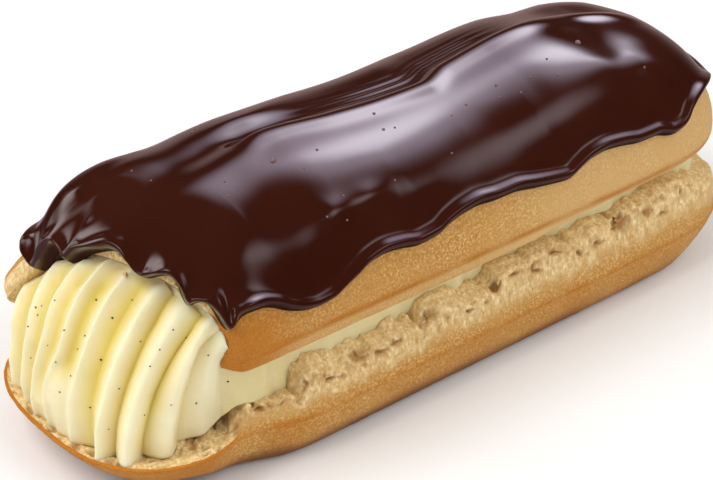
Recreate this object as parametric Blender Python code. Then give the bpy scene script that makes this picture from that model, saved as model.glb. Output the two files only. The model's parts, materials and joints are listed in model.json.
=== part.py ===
"""A filled chocolate eclair: two halves of a long choux bun, the cream between
them, and a poured chocolate glaze.  Metres, +Z up, the eclair's length along X.
The opened end, where the cream is piped out in ridges, faces -X.

Every piece is a loft on the same set of columns.  A column is a vertical
half-plane that leaves the spine (the line y = 0 between FRONT_HUB and BACK_HUB):
square to it along the two sides, and fanned round a hub at each end.  A piece is
a list of rows, each giving one radius and one height on every column.
"""

import math

import bmesh
import bpy
import numpy as np

MM = 0.001

# ------------------------------------------------------------------ dimensions
HALF_LENGTH = 71.0  # of the bottom bun, at its baking ridge
HALF_WIDTH = 25.5
BASE_INSET = 3.7  # how far the flat foot lies inside the ridge at the sides
BASE_INSET_FRONT = 11.5  # and at the two ends, which lift off the tray
BASE_INSET_BACK = 8.0
BASE_RIDGE_Z = 8.8  # the ridge where the bun met the baking sheet's heat
FLOOR_Z = 4.2  # inside of the bottom bun
WALL = 7.0  # crumb thickness of the bottom bun's sides
DISH_Z = 8.9  # the opened end is torn down to this shelf
DISH_BACK_X = -46.5

TOP_HALF_LENGTH = 69.6  # top bun, at its lower ridge
TOP_HALF_WIDTH = 24.4
TOP_RIDGE_Z = 24.8
TOP_LEDGE_Z = 20.6  # lower lip of the top bun, tucked in under the ridge
TOP_HEIGHT = 44.0
TOP_WALL = 4.4
CUT_X, CUT_SLOPE = -56.0, -0.289  # the opened end: x = CUT_X + CUT_SLOPE * y
CUT_ARCH_Z = 36.4  # top of the bun where it is opened
ARCH_Y = -3.0  # where that arch is highest
ARCH_GAP = 2.0  # bun thickness over the opening

GLAZE = 1.9  # glaze thickness on top
GLAZE_SIDE = 1.2  # and at the sides
GLAZE_EDGE_Z = 31.6  # mean height of its lower edge along the sides
CLEAR = 0.35  # gap kept between touching pieces

FRONT_HUB, BACK_HUB = -40.0, 44.0

# drips of the glaze over the opened end: (y, lowest z, half-width)
END_DRIPS = (
    (16.2, 26.8, 1.5),
    (7.2, 30.6, 2.0),
    (-6.6, 33.3, 2.4),
    (-14.8, 31.6, 1.9),
    (-21.2, 28.6, 1.0),
)
# scallops of the glaze along the near side: (x, drop, half-width)
SIDE_DRIPS = ((-35.0, 3.4, 6.5), (-12.0, 1.0, 4.5), (18.0, 1.5, 6.5), (47.0, 1.9, 8.0))
FAR_DRIPS = ((-44.0, 2.6, 6.0), (-22.0, 1.0, 5.0), (4.0, 2.8, 6.0), (30.0, 0.8, 6.0), (52.0, 2.4, 5.0))

RIDGES = 9  # piped ridges of the cream
RIDGE_DEPTH = 2.1


# ------------------------------------------------------------------- functions
def smooth(a, b, x):
    t = np.clip((x - a) / (b - a), 0.0, 1.0)
    return t * t * (3 - 2 * t)


def bump(x, at, half):
    return np.exp(-(((x - at) / half) ** 2))


class Columns:
    """Spine x and direction of every column; the last repeats the first."""

    def __init__(self, side, back, front):
        sx, ang = [], []
        for k in range(back):
            sx.append(BACK_HUB)
            ang.append(-90 + 180 * k / back)
        for k in range(side):
            sx.append(BACK_HUB + (FRONT_HUB - BACK_HUB) * k / side)
            ang.append(90)
        for k in range(front):
            sx.append(FRONT_HUB)
            ang.append(90 + 180 * k / front)
        for k in range(side):
            sx.append(FRONT_HUB + (BACK_HUB - FRONT_HUB) * k / side)
            ang.append(270)
        self.sx = np.array(sx + sx[:1], float)
        a = np.radians(np.array(ang + [270.0]))
        self.dx, self.dy = np.cos(a), np.sin(a)
        self.dx[np.abs(self.dx) < 1e-9] = 0.0
        self.dy[np.abs(self.dy) < 1e-9] = 0.0

    def at(self, r):
        return self.sx + r * self.dx, r * self.dy

    def reach(self, inside):
        """Radius at which each column leaves the outline inside(x, y) < 1."""
        lo, hi = np.zeros_like(self.sx), np.full_like(self.sx, 60.0)
        for _ in range(40):
            mid = (lo + hi) / 2
            x, y = self.at(mid)
            out = inside(x, y) > 1
            hi = np.where(out, mid, hi)
            lo = np.where(out, lo, mid)
        return (lo + hi) / 2


def base_outline(x, y):
    """Plan of the bottom bun, with a slight waist beside the opened end."""
    w = HALF_WIDTH - np.where(y < 0, 2.6 * bump(x, -46.5, 6.5), 0.0)
    return np.abs(x / HALF_LENGTH) ** np.where(x < 0, 8, 10) + np.abs(y / w) ** 2.6


def top_outline(x, y):
    a = np.where(x < 0, 80.0, TOP_HALF_LENGTH)
    w = TOP_HALF_WIDTH - np.where(y > 0, 2.2 * smooth(-44, -62, x), 0.0)
    body = np.abs(x / a) ** np.where(x < 0, 7, 8.5) + np.abs(y / w) ** 2.7
    cut = (FRONT_HUB - x) / (FRONT_HUB - CUT_X - CUT_SLOPE * y)
    return body**2.2 + np.maximum(cut, 0.0) ** 14


def front_share(c, outline_r):
    """0 on the sides, 1 where a column ends on the opened end."""
    x, y = c.at(outline_r)
    line = CUT_X + CUT_SLOPE * y
    return smooth(7.0, 0.6, x - line)


def spine_height(x):
    """Height of the bun's top along its length: a sag in the middle, a swell behind."""
    return TOP_HEIGHT - 1.0 * bump(x, 2, 17) + 1.1 * bump(x, 33, 12) - 1.0 * smooth(36, 46, x) - 1.3 * smooth(-24, -42, x)


def arch_edge(y):
    """Height of the bun's outer edge at the opened end."""
    far = y > ARCH_Y
    side = np.abs(y - ARCH_Y) / np.where(far, TOP_HALF_WIDTH + 0.3 - ARCH_Y, TOP_HALF_WIDTH + 0.3 + ARCH_Y)
    side = np.clip(side, 0, 1)
    arch = TOP_RIDGE_Z + (CUT_ARCH_Z - TOP_RIDGE_Z) * (1 - side ** np.where(far, 1.6, 3.2)) ** 0.5
    # the far corner slumps
    return np.maximum(arch - 4.6 * smooth(12, 19, y), TOP_RIDGE_Z + 0.1)


def dome(c, grow_r, grow_z, t, r_out, share):
    """Superellipse from the spine (t = 0) down to the outline (t = 1)."""
    _, y = c.at(r_out)
    edge = TOP_RIDGE_Z + (arch_edge(y) - TOP_RIDGE_Z) * share
    top = spine_height(c.sx)
    a = t * math.pi / 2
    full = 2.3 - 0.12 * smooth(-0.2, 0.6, c.dy) - 0.35 * smooth(-0.1, 0.9, c.dy) * smooth(FRONT_HUB + 12, FRONT_HUB, c.sx)
    r = (r_out + grow_r) * np.sin(a) ** (2 / full)
    z = edge + (top + grow_z - edge) * np.cos(a) ** (2 / (2.05 - 0.45 * share))
    return r, z


def loft(name, c, rows, colour, roughness):
    """A grid, wrapped round the columns and welded where it meets itself."""
    m, n = len(rows) - 1, len(c.sx) - 1
    table = np.empty((m + 1, n + 1, 3))
    for i, row in enumerate(rows):
        r, z = row[0], row[1]
        cc = row[2] if len(row) > 2 else c
        table[i, :, 0], table[i, :, 1] = cc.at(r)
        table[i, :, 2] = z
    table[:, n] = table[:, 0]
    bm = bmesh.new()
    bmesh.ops.create_grid(bm, x_segments=n, y_segments=m, size=1.0)
    for v in bm.verts:
        j = round((v.co.x + 1) / 2 * n)
        i = round((v.co.y + 1) / 2 * m)
        v.co = [float(q) * MM for q in table[i, j]]
    bmesh.ops.remove_doubles(bm, verts=bm.verts, dist=2e-6)
    bmesh.ops.dissolve_degenerate(bm, dist=1e-6, edges=bm.edges)
    bmesh.ops.triangulate(bm, faces=bm.faces)
    bmesh.ops.recalc_face_normals(bm, faces=bm.faces)
    mesh = bpy.data.meshes.new(name)
    bm.to_mesh(mesh)
    bm.free()
    mesh.shade_smooth()
    mesh.set_sharp_from_angle(angle=math.radians(40))
    mat = bpy.data.materials.new(name)
    mat.use_nodes = True
    shader = mat.node_tree.nodes["Principled BSDF"]
    shader.inputs["Base Color"].default_value = (*colour, 1.0)
    shader.inputs["Roughness"].default_value = roughness
    shader.inputs["Metallic"].default_value = 0.0
    mesh.materials.append(mat)
    obj = bpy.data.objects.new(name, mesh)
    eclair.objects.link(obj)
    return obj


# ----------------------------------------------------------- shared side levels
def shelf_share(x, y):
    """0 along the bun, 1 on the torn shelf of the opened end, which is cut on the slant."""
    back = DISH_BACK_X + CUT_SLOPE * (y + HALF_WIDTH)
    return smooth(back + 2.2, back - 2.0, x)


def torn_edge(x, y):
    """Height of the bottom bun's torn upper edge; the opened end is a low shelf."""
    side = 15.0 + 2.9 * smooth(-6, 12, x) + 1.8 * smooth(32, 50, x) - 3.0 * smooth(50, 70, x)
    side = side + 0.4 * np.sin(x * 0.43 + 1.0) + 0.35 * np.sin(x * 0.91 + 2.0 + 0.1 * y)
    return side + (DISH_Z - side) * shelf_share(x, y)


def ledge(x):
    """Lower edge of the top bun."""
    return TOP_LEDGE_Z + 1.9 * smooth(8, 40, x) - 0.4 * smooth(60, 68, x)


# ------------------------------------------------------------------ bottom bun
def bottom_bun():
    c = Columns(side=18, back=14, front=20)
    big = c.reach(base_outline)
    x, y = c.at(big - 2.0)
    zt = torn_edge(x, y)
    open_end = shelf_share(x, y)
    wall = WALL + 4.5 * smooth(-38, -60, x)
    flat = np.full_like(big, 1.0)
    inset = BASE_INSET + (BASE_INSET_FRONT - BASE_INSET) * smooth(-44, -62, x) ** 0.8 + (BASE_INSET_BACK - BASE_INSET) * smooth(50, 66, x)
    rise = lambda f: BASE_RIDGE_Z + (zt - BASE_RIDGE_Z) * f
    rows = [
        (0 * big, flat * 0.0),
        (big - inset, flat * 0.0),
        (big - inset * 0.66, flat * 1.1),
        (big - inset * 0.34, flat * 3.7),
        (big - inset * 0.12, flat * 6.6),
        (big, flat * BASE_RIDGE_Z),
        (big - 0.55, rise(0.3)),
        (big - 0.75, rise(0.75)),
        (big - 1.5, rise(0.97)),
        (big - 3.0, zt + 0.15),
        (big - 5.6, zt - 0.9 + 0.5 * open_end),
        (big - wall, zt - 2.6 + 1.9 * open_end),
        (big - wall - 1.6, flat * (FLOOR_Z + 0.6)),
        (big - wall - 4.5, flat * FLOOR_Z),
        (0 * big, flat * FLOOR_Z),
    ]
    return loft("bottom_bun", c, rows, (0.62, 0.36, 0.14), 0.75)


# --------------------------------------------------------------------- top bun
def top_bun():
    c = Columns(side=18, back=14, front=28)
    out = c.reach(top_outline)
    share = front_share(c, out)
    x, y = c.at(out)
    low = ledge(x)
    flat = np.ones_like(out)
    rows = [dome(c, 0, 0, t, out, share) for t in (0, 0.16, 0.34, 0.54, 0.74, 0.9, 1.0)]
    inner_r, inner_z = inner_dome(c, out, share)
    # on the sides the outer face turns under the ridge to the tucked ledge; at
    # the opened end the same rows run straight down the cut face
    leg = inner_z[-1]
    edge = rows[-1][1]

    def face(side_r, side_z, f):
        r = side_r * (1 - share) + out * share
        z = side_z * (1 - share) + (edge + (leg - edge) * f) * share
        return r, z

    rows.append(face(out - 1.1, TOP_RIDGE_Z - 2.2 * flat, 0.35))
    rows.append(face(out - 2.6, low, 0.75))
    rows.append(face(out - 3.9, low + 0.3, 1.0))
    for r, z in zip(inner_r[::-1], inner_z[::-1]):
        rows.append((r, z))
    return loft("top_bun", c, rows, (0.66, 0.38, 0.14), 0.75)


def inner_dome(c, out, share, shrink=0.0):
    """Hollow of the top bun, from the spine outwards: radii and heights."""
    _, ye = c.at(out)
    low = ledge(c.at(out)[0]) + 0.3
    crown = spine_height(c.sx) - 7.5 - shrink
    arch_in = arch_edge(ye * 1.12) - ARCH_GAP - shrink
    arch_in = np.where(np.abs(ye) > 20.5, low - shrink, np.maximum(arch_in, low - shrink))
    rs, zs = [], []
    for t in (0.0, 0.3, 0.6, 0.85, 1.0):
        a = t * math.pi / 2
        r_side = (out - TOP_WALL - shrink) * np.sin(a) ** (2 / 2.6)
        z_side = low - shrink * 0 + (crown - low) * np.cos(a) ** (2 / 2.3)
        r_front = out * t
        z_front = arch_in + (crown - arch_in) * np.cos(a) ** 1.3
        rs.append(r_side * (1 - share) + r_front * share)
        zs.append(z_side * (1 - share) + z_front * share)
    return rs, zs


# ---------------------------------------------------------------- cream filling
def cream():
    c = Columns(side=18, back=14, front=42)
    big = c.reach(base_outline)
    out = c.reach(top_outline)
    share = front_share(c, out)
    cut = share
    share = smooth(0.1, 0.95, share)
    xb, yb = c.at(big - 2.0)
    zt = torn_edge(xb, yb)
    # the cream lies on the crumb, so it takes the highest of the columns beside it
    wide = np.max([np.roll(zt[:-1], k) for k in (-2, -1, 0, 1, 2)], axis=0)
    slim = np.max([zt[:-1], (np.roll(zt[:-1], 1) + np.roll(zt[:-1], -1)) / 2], axis=0)
    zt = np.where(xb[:-1] < -36, wide, slim)
    zt = np.append(zt, zt[0])
    open_end = shelf_share(xb, yb)
    wall = WALL + 4.5 * smooth(-38, -60, xb)
    xo, yo = c.at(out)
    low = ledge(xo)
    flat = np.ones_like(big)
    fan = np.degrees(np.arctan2(c.dy, c.dx)) % 360  # 90 far side, 180 front, 270 near side
    # where the foot of the piped cream stands on the shelf
    foot = big - 1.5 - 5.8 * smooth(212, 238, fan)
    arch = inner_dome(c, out, cut, CLEAR)[1][-1] - CLEAR
    # ridges: crests at even steps across the opened end
    phase = (fan - 96) / (262 - 96) * RIDGES
    crest = np.abs(np.cos(math.pi * phase)) ** 0.8
    ridge = RIDGE_DEPTH * (crest - 0.6) * share

    def mix(side_r, side_z, front_r, front_z):
        return side_r * (1 - share) + front_r * share, side_z * (1 - share) + front_z * share

    band_r = big - 3.6
    band_lo = zt + 0.5
    band_hi = low - CLEAR
    in_r = big - wall - 1.6 - 3.2
    a_r = out - 1.2
    reach = foot - a_r
    z0 = zt + 0.45
    high = arch - z0
    rows = [
        (0 * big, flat * (FLOOR_Z + CLEAR)),
        (big - wall - 5.2, flat * (FLOOR_Z + CLEAR)),
        (big - wall - 2.3, flat * (FLOOR_Z + 1.3)),
        mix(big - wall - 0.8, zt - 2.0 + 1.8 * open_end, big - wall - 0.8, z0 - 0.5),
        mix(big - 5.4, band_lo - 0.1, foot - 3.0, z0 + 0 * flat),
        mix(band_r, band_lo + (band_hi - band_lo) * 0.15, foot - 0.6 + ridge * 0.4, z0 + 0.8 * flat),
        mix(band_r + 0.3, band_lo + (band_hi - band_lo) * 0.4, foot + 0.2 + ridge * 0.8, z0 + 0.14 * high),
        mix(band_r + 0.3, band_lo + (band_hi - band_lo) * 0.7, foot - 0.02 * reach + ridge, z0 + 0.36 * high),
        mix(band_r, band_lo + (band_hi - band_lo) * 0.85, a_r + 0.86 * reach + ridge, z0 + 0.58 * high),
        mix(band_r - 1.0, band_hi, a_r + 0.6 * reach + ridge, z0 + 0.79 * high),
        mix(out - 4.4, band_hi + 0 * flat, a_r + 0.30 * reach + ridge * 0.8, z0 + 0.94 * high),
    ]
    inner_r, inner_z = inner_dome(c, out, cut, CLEAR + 0.15)
    for k, (r, z) in enumerate(zip(inner_r[::-1], inner_z[::-1])):
        pull = 0.9 if k == 0 else 0.5
        rows.append((np.maximum(r - pull * (k < 4), 0), z - CLEAR - 0.4 * cut * (k < 4)))
    return loft("cream_filling", c, rows, (0.90, 0.78, 0.42), 0.5)


# -------------------------------------------------------------- chocolate glaze
def glaze():
    c = Columns(side=18, back=14, front=28)
    out = c.reach(top_outline)
    share = front_share(c, out)
    x, y = c.at(out)
    near = GLAZE_EDGE_Z + 1.3 * smooth(-12, 0, x) - 0.6 * smooth(34, 44, x)
    for at, drop, half in SIDE_DRIPS:
        near = near - drop * bump(x, at, half)
    far = GLAZE_EDGE_Z + 1.0 + 0.8 * np.sin(x * 0.13)
    for at, drop, half in FAR_DRIPS:
        far = far - drop * bump(x, at, half)
    edge_side = np.where(y < 0, near, far)
    edge_side = edge_side + (32.0 - edge_side) * smooth(56, 66, x)
    edge_front = arch_edge(y) - 0.2
    for at, low, half in END_DRIPS:
        here = arch_edge(np.array(at)) - 0.2
        edge_front = edge_front - (here - low) * bump(y, at, half)
    edge = edge_side * (1 - share) + edge_front * share

    def skin(grow_r, grow_z, stop, f):
        """Point at fraction f of the way down one face of the glaze."""
        fine = [dome(c, grow_r, grow_z, t, out, share) for t in np.linspace(0, 1, 41)]
        r = np.array([q[0] for q in fine])
        z = np.array([q[1] for q in fine])
        # past the bun's edge the glaze hangs free and leans out over the cream
        hang = np.linspace(0.25, 12, 30)
        r = np.concatenate([r, r[-1] + 0.55 * hang[:, None] * share])
        z = np.concatenate([z, z[-1] - hang[:, None]])
        rr, zz = np.empty_like(out), np.empty_like(out)
        for j in range(len(out)):
            arc = np.concatenate([[0], np.cumsum(np.hypot(np.diff(r[:, j]), np.diff(z[:, j])))])
            end = np.interp(-stop[j], -z[:, j], arc)
            rr[j] = np.interp(end * f, arc, r[:, j])
            zz[j] = np.interp(end * f, arc, z[:, j])
        return rr, zz

    steps = (0, 0.2, 0.4, 0.6, 0.78, 0.92)
    inner = CLEAR + 0.3 * share
    rows = [skin(inner, CLEAR, edge + 0.15, f) for f in steps]
    rows.append(skin(inner, CLEAR, edge + 0.15, 1.0))
    mid_r, mid_z = skin(CLEAR + 0.6 * GLAZE_SIDE, GLAZE * 0.6, edge - 0.25, 1.0)
    rows.append((mid_r, mid_z))
    outer = [skin(GLAZE_SIDE + CLEAR, GLAZE + CLEAR * 0, edge + 0.55, f) for f in (1.0, *steps[::-1])]
    valley = 1.1 * bump(c.sx, 5, 52)
    for k, (r, z) in enumerate(outer):
        xx, yy = c.at(r)
        line = 0.8 + 1.2 * np.sin((xx + 40) * 0.055)
        dip = valley * bump(yy, line + 2.0, 3.4) * (k > 1) * smooth(-60, -50, xx) * smooth(64, 52, xx)
        rows.append((r, z - dip))
    return loft("chocolate_glaze", c, rows, (0.045, 0.012, 0.008), 0.15)


# ------------------------------------------------------------------- the eclair
for old in list(bpy.data.objects):
    bpy.data.objects.remove(old, do_unlink=True)
bpy.context.scene.unit_settings.scale_length = 1.0
eclair = bpy.data.collections.new("eclair")
bpy.context.scene.collection.children.link(eclair)

bottom_bun()
top_bun()
cream()
glaze()
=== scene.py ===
"""Looks of the filled chocolate eclair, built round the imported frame.

Lengths in the geometry functions are millimetres and are scaled on the way into
a mesh.  Each piece is a fine loft on the same columns that the frame's solids use:
vertical half-planes leaving the spine, square to it on the sides and fanned
round a hub at each end.
"""

import json
import math

import bmesh
import bpy
import numpy as np
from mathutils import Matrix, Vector, kdtree
from mathutils.bvhtree import BVHTree

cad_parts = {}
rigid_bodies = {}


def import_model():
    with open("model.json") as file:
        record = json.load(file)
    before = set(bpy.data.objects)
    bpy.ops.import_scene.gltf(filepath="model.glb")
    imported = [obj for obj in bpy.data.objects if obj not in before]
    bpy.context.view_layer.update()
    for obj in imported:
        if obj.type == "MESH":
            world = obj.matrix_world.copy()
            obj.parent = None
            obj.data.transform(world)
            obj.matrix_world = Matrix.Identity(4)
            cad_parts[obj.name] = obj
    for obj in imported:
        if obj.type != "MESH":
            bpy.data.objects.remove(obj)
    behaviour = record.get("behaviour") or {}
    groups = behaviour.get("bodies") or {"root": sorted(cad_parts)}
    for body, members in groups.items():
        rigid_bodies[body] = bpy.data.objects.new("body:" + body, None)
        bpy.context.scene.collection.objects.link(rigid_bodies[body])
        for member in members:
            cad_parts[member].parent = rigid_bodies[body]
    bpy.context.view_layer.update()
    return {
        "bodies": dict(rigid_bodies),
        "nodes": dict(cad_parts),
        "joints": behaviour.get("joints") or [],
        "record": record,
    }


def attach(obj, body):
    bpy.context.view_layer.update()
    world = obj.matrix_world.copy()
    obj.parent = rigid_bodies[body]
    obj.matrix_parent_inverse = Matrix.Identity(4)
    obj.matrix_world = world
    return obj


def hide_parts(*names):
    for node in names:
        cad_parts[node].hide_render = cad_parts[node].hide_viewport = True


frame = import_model()
MM = 0.001

# ------------------------------------------------------------------ dimensions
HALF_LENGTH, HALF_WIDTH = 71.0, 25.5
BASE_INSET, BASE_INSET_FRONT, BASE_INSET_BACK = 3.7, 11.5, 8.0
BASE_RIDGE_Z, FLOOR_Z, WALL, DISH_Z, DISH_BACK_X = 8.8, 4.2, 7.0, 8.9, -46.5
TOP_HALF_LENGTH, TOP_HALF_WIDTH, TOP_RIDGE_Z, TOP_LEDGE_Z, TOP_HEIGHT = 69.6, 24.4, 24.8, 20.6, 44.0
TOP_WALL = 4.4
CUT_X, CUT_SLOPE, CUT_ARCH_Z, ARCH_Y, ARCH_GAP = -56.0, -0.289, 36.4, -3.0, 2.0
FRONT_HUB, BACK_HUB = -40.0, 44.0


# ------------------------------------------------------------------- functions
def smooth(a, b, x):
    t = np.clip((np.asarray(x, float) - a) / (b - a), 0.0, 1.0)
    return t * t * (3 - 2 * t)


def bump(x, at, half):
    return np.exp(-(((np.asarray(x, float) - at) / half) ** 2))


def mix(a, b, t):
    return a + (b - a) * t


def curve(x, xs, ys):
    """Smooth curve through the points, without overshoot (monotone cubic)."""
    xs, ys = np.asarray(xs, float), np.asarray(ys, float)
    h = np.diff(xs)
    d = np.diff(ys) / h
    m = np.empty_like(ys)
    m[0], m[-1] = d[0], d[-1]
    w1, w2 = 2 * h[1:] + h[:-1], h[1:] + 2 * h[:-1]
    with np.errstate(divide="ignore", invalid="ignore"):
        m[1:-1] = np.where(d[:-1] * d[1:] > 0, (w1 + w2) / (w1 / d[:-1] + w2 / d[1:]), 0.0)
    m = np.nan_to_num(m)
    x = np.clip(x, xs[0], xs[-1])
    i = np.clip(np.searchsorted(xs, x) - 1, 0, len(xs) - 2)
    t = (x - xs[i]) / h[i]
    return (
        ys[i] * (1 + 2 * t) * (1 - t) ** 2
        + m[i] * h[i] * t * (1 - t) ** 2
        + ys[i + 1] * t**2 * (3 - 2 * t)
        + m[i + 1] * h[i] * t**2 * (t - 1)
    )


def scatter(ix, iy, iz, seed):
    """Repeatable number in 0..1 for each lattice cell."""
    u = np.uint64
    h = ix.astype(np.int64).astype(u) * u(0x9E3779B97F4A7C15)
    h ^= iy.astype(np.int64).astype(u) * u(0xC2B2AE3D27D4EB4F)
    h ^= iz.astype(np.int64).astype(u) * u(0x165667B19E3779F9)
    h ^= u((seed * 7919 + 17) * 0x27D4EB2F)
    h ^= h >> u(29)
    h *= u(0xBF58476D1CE4E5B9)
    h ^= h >> u(32)
    h *= u(0x94D049BB133111EB)
    h ^= h >> u(29)
    return (h >> u(40)).astype(float) / float(1 << 24)


def noise(p, size, seed=0):
    """Smooth value noise in -1..1; size is a length or three lengths."""
    q = np.asarray(p, float) / np.asarray(size, float)
    i = np.floor(q)
    f = q - i
    w = f * f * f * (f * (f * 6 - 15) + 10)
    total = np.zeros(q.shape[:-1])
    for a in (0, 1):
        for b in (0, 1):
            for c in (0, 1):
                g = np.where(a, w[..., 0], 1 - w[..., 0]) * np.where(b, w[..., 1], 1 - w[..., 1]) * np.where(c, w[..., 2], 1 - w[..., 2])
                total += g * scatter(i[..., 0] + a, i[..., 1] + b, i[..., 2] + c, seed)
    return total * 2 - 1


def layers(p, size, count, seed=0, fall=0.5):
    size = np.asarray(size, float)
    total, amp, norm = 0.0, 1.0, 0.0
    for k in range(count):
        total = total + amp * noise(p, size / 2**k, seed + k)
        norm += amp
        amp *= fall
    return total / norm


def pores(p, cell, share, small, large, seed=0):
    """0..1 inside round pores scattered one to a cell at most."""
    q = np.asarray(p, float)
    base = np.floor(q / cell)
    best = np.zeros(q.shape[:-1])
    for a in (-1, 0, 1):
        for b in (-1, 0, 1):
            for c in (-1, 0, 1):
                ix, iy, iz = base[..., 0] + a, base[..., 1] + b, base[..., 2] + c
                there = scatter(ix, iy, iz, seed) < share
                cx = (ix + scatter(ix, iy, iz, seed + 1)) * cell
                cy = (iy + scatter(ix, iy, iz, seed + 2)) * cell
                cz = (iz + scatter(ix, iy, iz, seed + 3)) * cell
                rad = small + (large - small) * scatter(ix, iy, iz, seed + 4) ** 2
                d2 = ((q[..., 0] - cx) ** 2 + (q[..., 1] - cy) ** 2 + (q[..., 2] - cz) ** 2) / rad**2
                best = np.maximum(best, np.where(there, np.clip(1 - d2, 0, 1), 0))
    return best


def flat_pores(u, v, cell, share, small, large, seed=0):
    """The same on a plane: 0..1 inside round pores over the coordinates u, v."""
    bu, bv = np.floor(u / cell), np.floor(v / cell)
    best = np.zeros(np.shape(u))
    zero = np.zeros(np.shape(u))
    for a in (-1, 0, 1):
        for b in (-1, 0, 1):
            iu, iv = bu + a, bv + b
            there = scatter(iu, iv, zero, seed) < share
            cu = (iu + scatter(iu, iv, zero, seed + 1)) * cell
            cv = (iv + scatter(iu, iv, zero, seed + 2)) * cell
            rad = small + (large - small) * scatter(iu, iv, zero, seed + 3) ** 2
            squash = 0.75 + 0.7 * scatter(iu, iv, zero, seed + 4)
            d2 = ((u - cu) ** 2 * squash + (v - cv) ** 2 / squash) / rad**2
            best = np.maximum(best, np.where(there, np.clip(1 - d2, 0, 1), 0))
    return best


class Columns:
    """Spine x and direction of every column, and its place round the outline:
    `way` runs -90..90 round the back end, ..180 along the far side, ..360 round
    the opened end and ..450 back along the near side."""

    def __init__(self, side, back, front):
        k = np.arange(back) / back
        b = (np.full(back, BACK_HUB), -90 + 180 * k, -90 + 180 * k)
        k = np.arange(side) / side
        f = (BACK_HUB + (FRONT_HUB - BACK_HUB) * k, np.full(side, 90.0), 90 + 90 * k)
        k = np.arange(front) / front
        e = (np.full(front, FRONT_HUB), 90 + 180 * k, 180 + 180 * k)
        k = np.arange(side) / side
        n = (FRONT_HUB + (BACK_HUB - FRONT_HUB) * k, np.full(side, 270.0), 360 + 90 * k)
        self.sx, ang, self.way = (np.concatenate(q) for q in zip(b, f, e, n))
        self.fan = ang % 360
        a = np.radians(ang)
        self.dx, self.dy = np.cos(a), np.sin(a)
        self.dx[np.abs(self.dx) < 1e-9] = 0.0
        self.dy[np.abs(self.dy) < 1e-9] = 0.0

    def at(self, r):
        return self.sx + r * self.dx, r * self.dy

    def points(self, r, z):
        x, y = self.at(r)
        return np.stack([x, y, z + 0 * x], -1)

    def reach(self, inside):
        lo, hi = np.zeros_like(self.sx), np.full_like(self.sx, 60.0)
        for _ in range(40):
            mid = (lo + hi) / 2
            out = inside(*self.at(mid)) > 1
            hi = np.where(out, mid, hi)
            lo = np.where(out, lo, mid)
        return (lo + hi) / 2


def base_outline(x, y):
    w = HALF_WIDTH - np.where(y < 0, 2.6 * bump(x, -46.5, 6.5), 0.0)
    return np.abs(x / HALF_LENGTH) ** np.where(x < 0, 8, 10) + np.abs(y / w) ** 2.6


def top_outline(x, y):
    a = np.where(x < 0, 80.0, TOP_HALF_LENGTH)
    w = TOP_HALF_WIDTH - np.where(y > 0, 4.6 * smooth(-44, -62, x), 0.0)
    body = np.abs(x / a) ** np.where(x < 0, 7, 8.5) + np.abs(y / w) ** 2.7
    cut = (FRONT_HUB - x) / (FRONT_HUB - CUT_X - CUT_SLOPE * y)
    return body**2.2 + np.maximum(cut, 0.0) ** 14


def front_share(c, outline_r):
    x, y = c.at(outline_r)
    return smooth(7.0, 0.6, x - (CUT_X + CUT_SLOPE * y))


def spine_height(x):
    return TOP_HEIGHT - 1.0 * bump(x, 2, 17) + 1.1 * bump(x, 33, 12) - 1.0 * smooth(36, 46, x) - 1.3 * smooth(-24, -42, x)


def arch_edge(y):
    far = y > ARCH_Y
    side = np.abs(y - ARCH_Y) / np.where(far, TOP_HALF_WIDTH + 0.3 - ARCH_Y, TOP_HALF_WIDTH + 0.3 + ARCH_Y)
    side = np.clip(side, 0, 1)
    arch = TOP_RIDGE_Z + (CUT_ARCH_Z - TOP_RIDGE_Z) * (1 - side ** np.where(far, 1.6, 3.2)) ** 0.5
    # the far corner slumps
    return np.maximum(arch - 4.6 * smooth(12, 19, y), TOP_RIDGE_Z + 0.1)


def dome(c, t, r_out, share):
    """Outer face of the top bun, from the spine (t = 0) to its ridge (t = 1)."""
    _, y = c.at(r_out)
    edge = TOP_RIDGE_Z + (arch_edge(y) - TOP_RIDGE_Z) * share
    top = spine_height(c.sx)
    a = t * math.pi / 2
    full = 2.3 - 0.12 * smooth(-0.2, 0.6, c.dy) - 0.35 * smooth(-0.1, 0.9, c.dy) * smooth(FRONT_HUB + 12, FRONT_HUB, c.sx)
    r = r_out * np.sin(a) ** (2 / full)
    z = edge + (top - edge) * np.cos(a) ** (2 / (2.05 - 0.45 * share))
    return r, z


def blur_columns(a, wide):
    """Blur each row round the closed ring of columns; wide is in columns."""
    k = np.arange(-int(3 * wide), int(3 * wide) + 1)
    w = np.exp(-((k / wide) ** 2) / 2)
    w /= w.sum()
    total = 0.0
    for shift, weight in zip(k, w):
        total = total + weight * np.roll(a, shift, axis=-1)
    return total


def dome_rows(c, ts, out, share, wide):
    """The dome at each t, with its radial creases blurred away above the edge."""
    ts = np.asarray(ts, float)
    r, z = (np.array(q) for q in zip(*[dome(c, t, out, share) for t in ts]))
    keep = smooth(0.78, 0.97, ts)[:, None]
    front = smooth(-20, -30, c.sx + 0 * out)[None]
    spine = spine_height(c.sx)
    zs = spine + blur_columns(z - spine, wide)
    rs = blur_columns(r, wide)
    f = (1 - keep) * front
    return mix(r, rs, f), mix(z, zs, f)


def shelf_share(x, y):
    back = DISH_BACK_X + CUT_SLOPE * (y + HALF_WIDTH)
    return smooth(back + 2.2, back - 2.0, x)


def ledge(x):
    return TOP_LEDGE_Z + 1.9 * smooth(8, 40, x) - 0.4 * smooth(60, 68, x)


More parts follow.
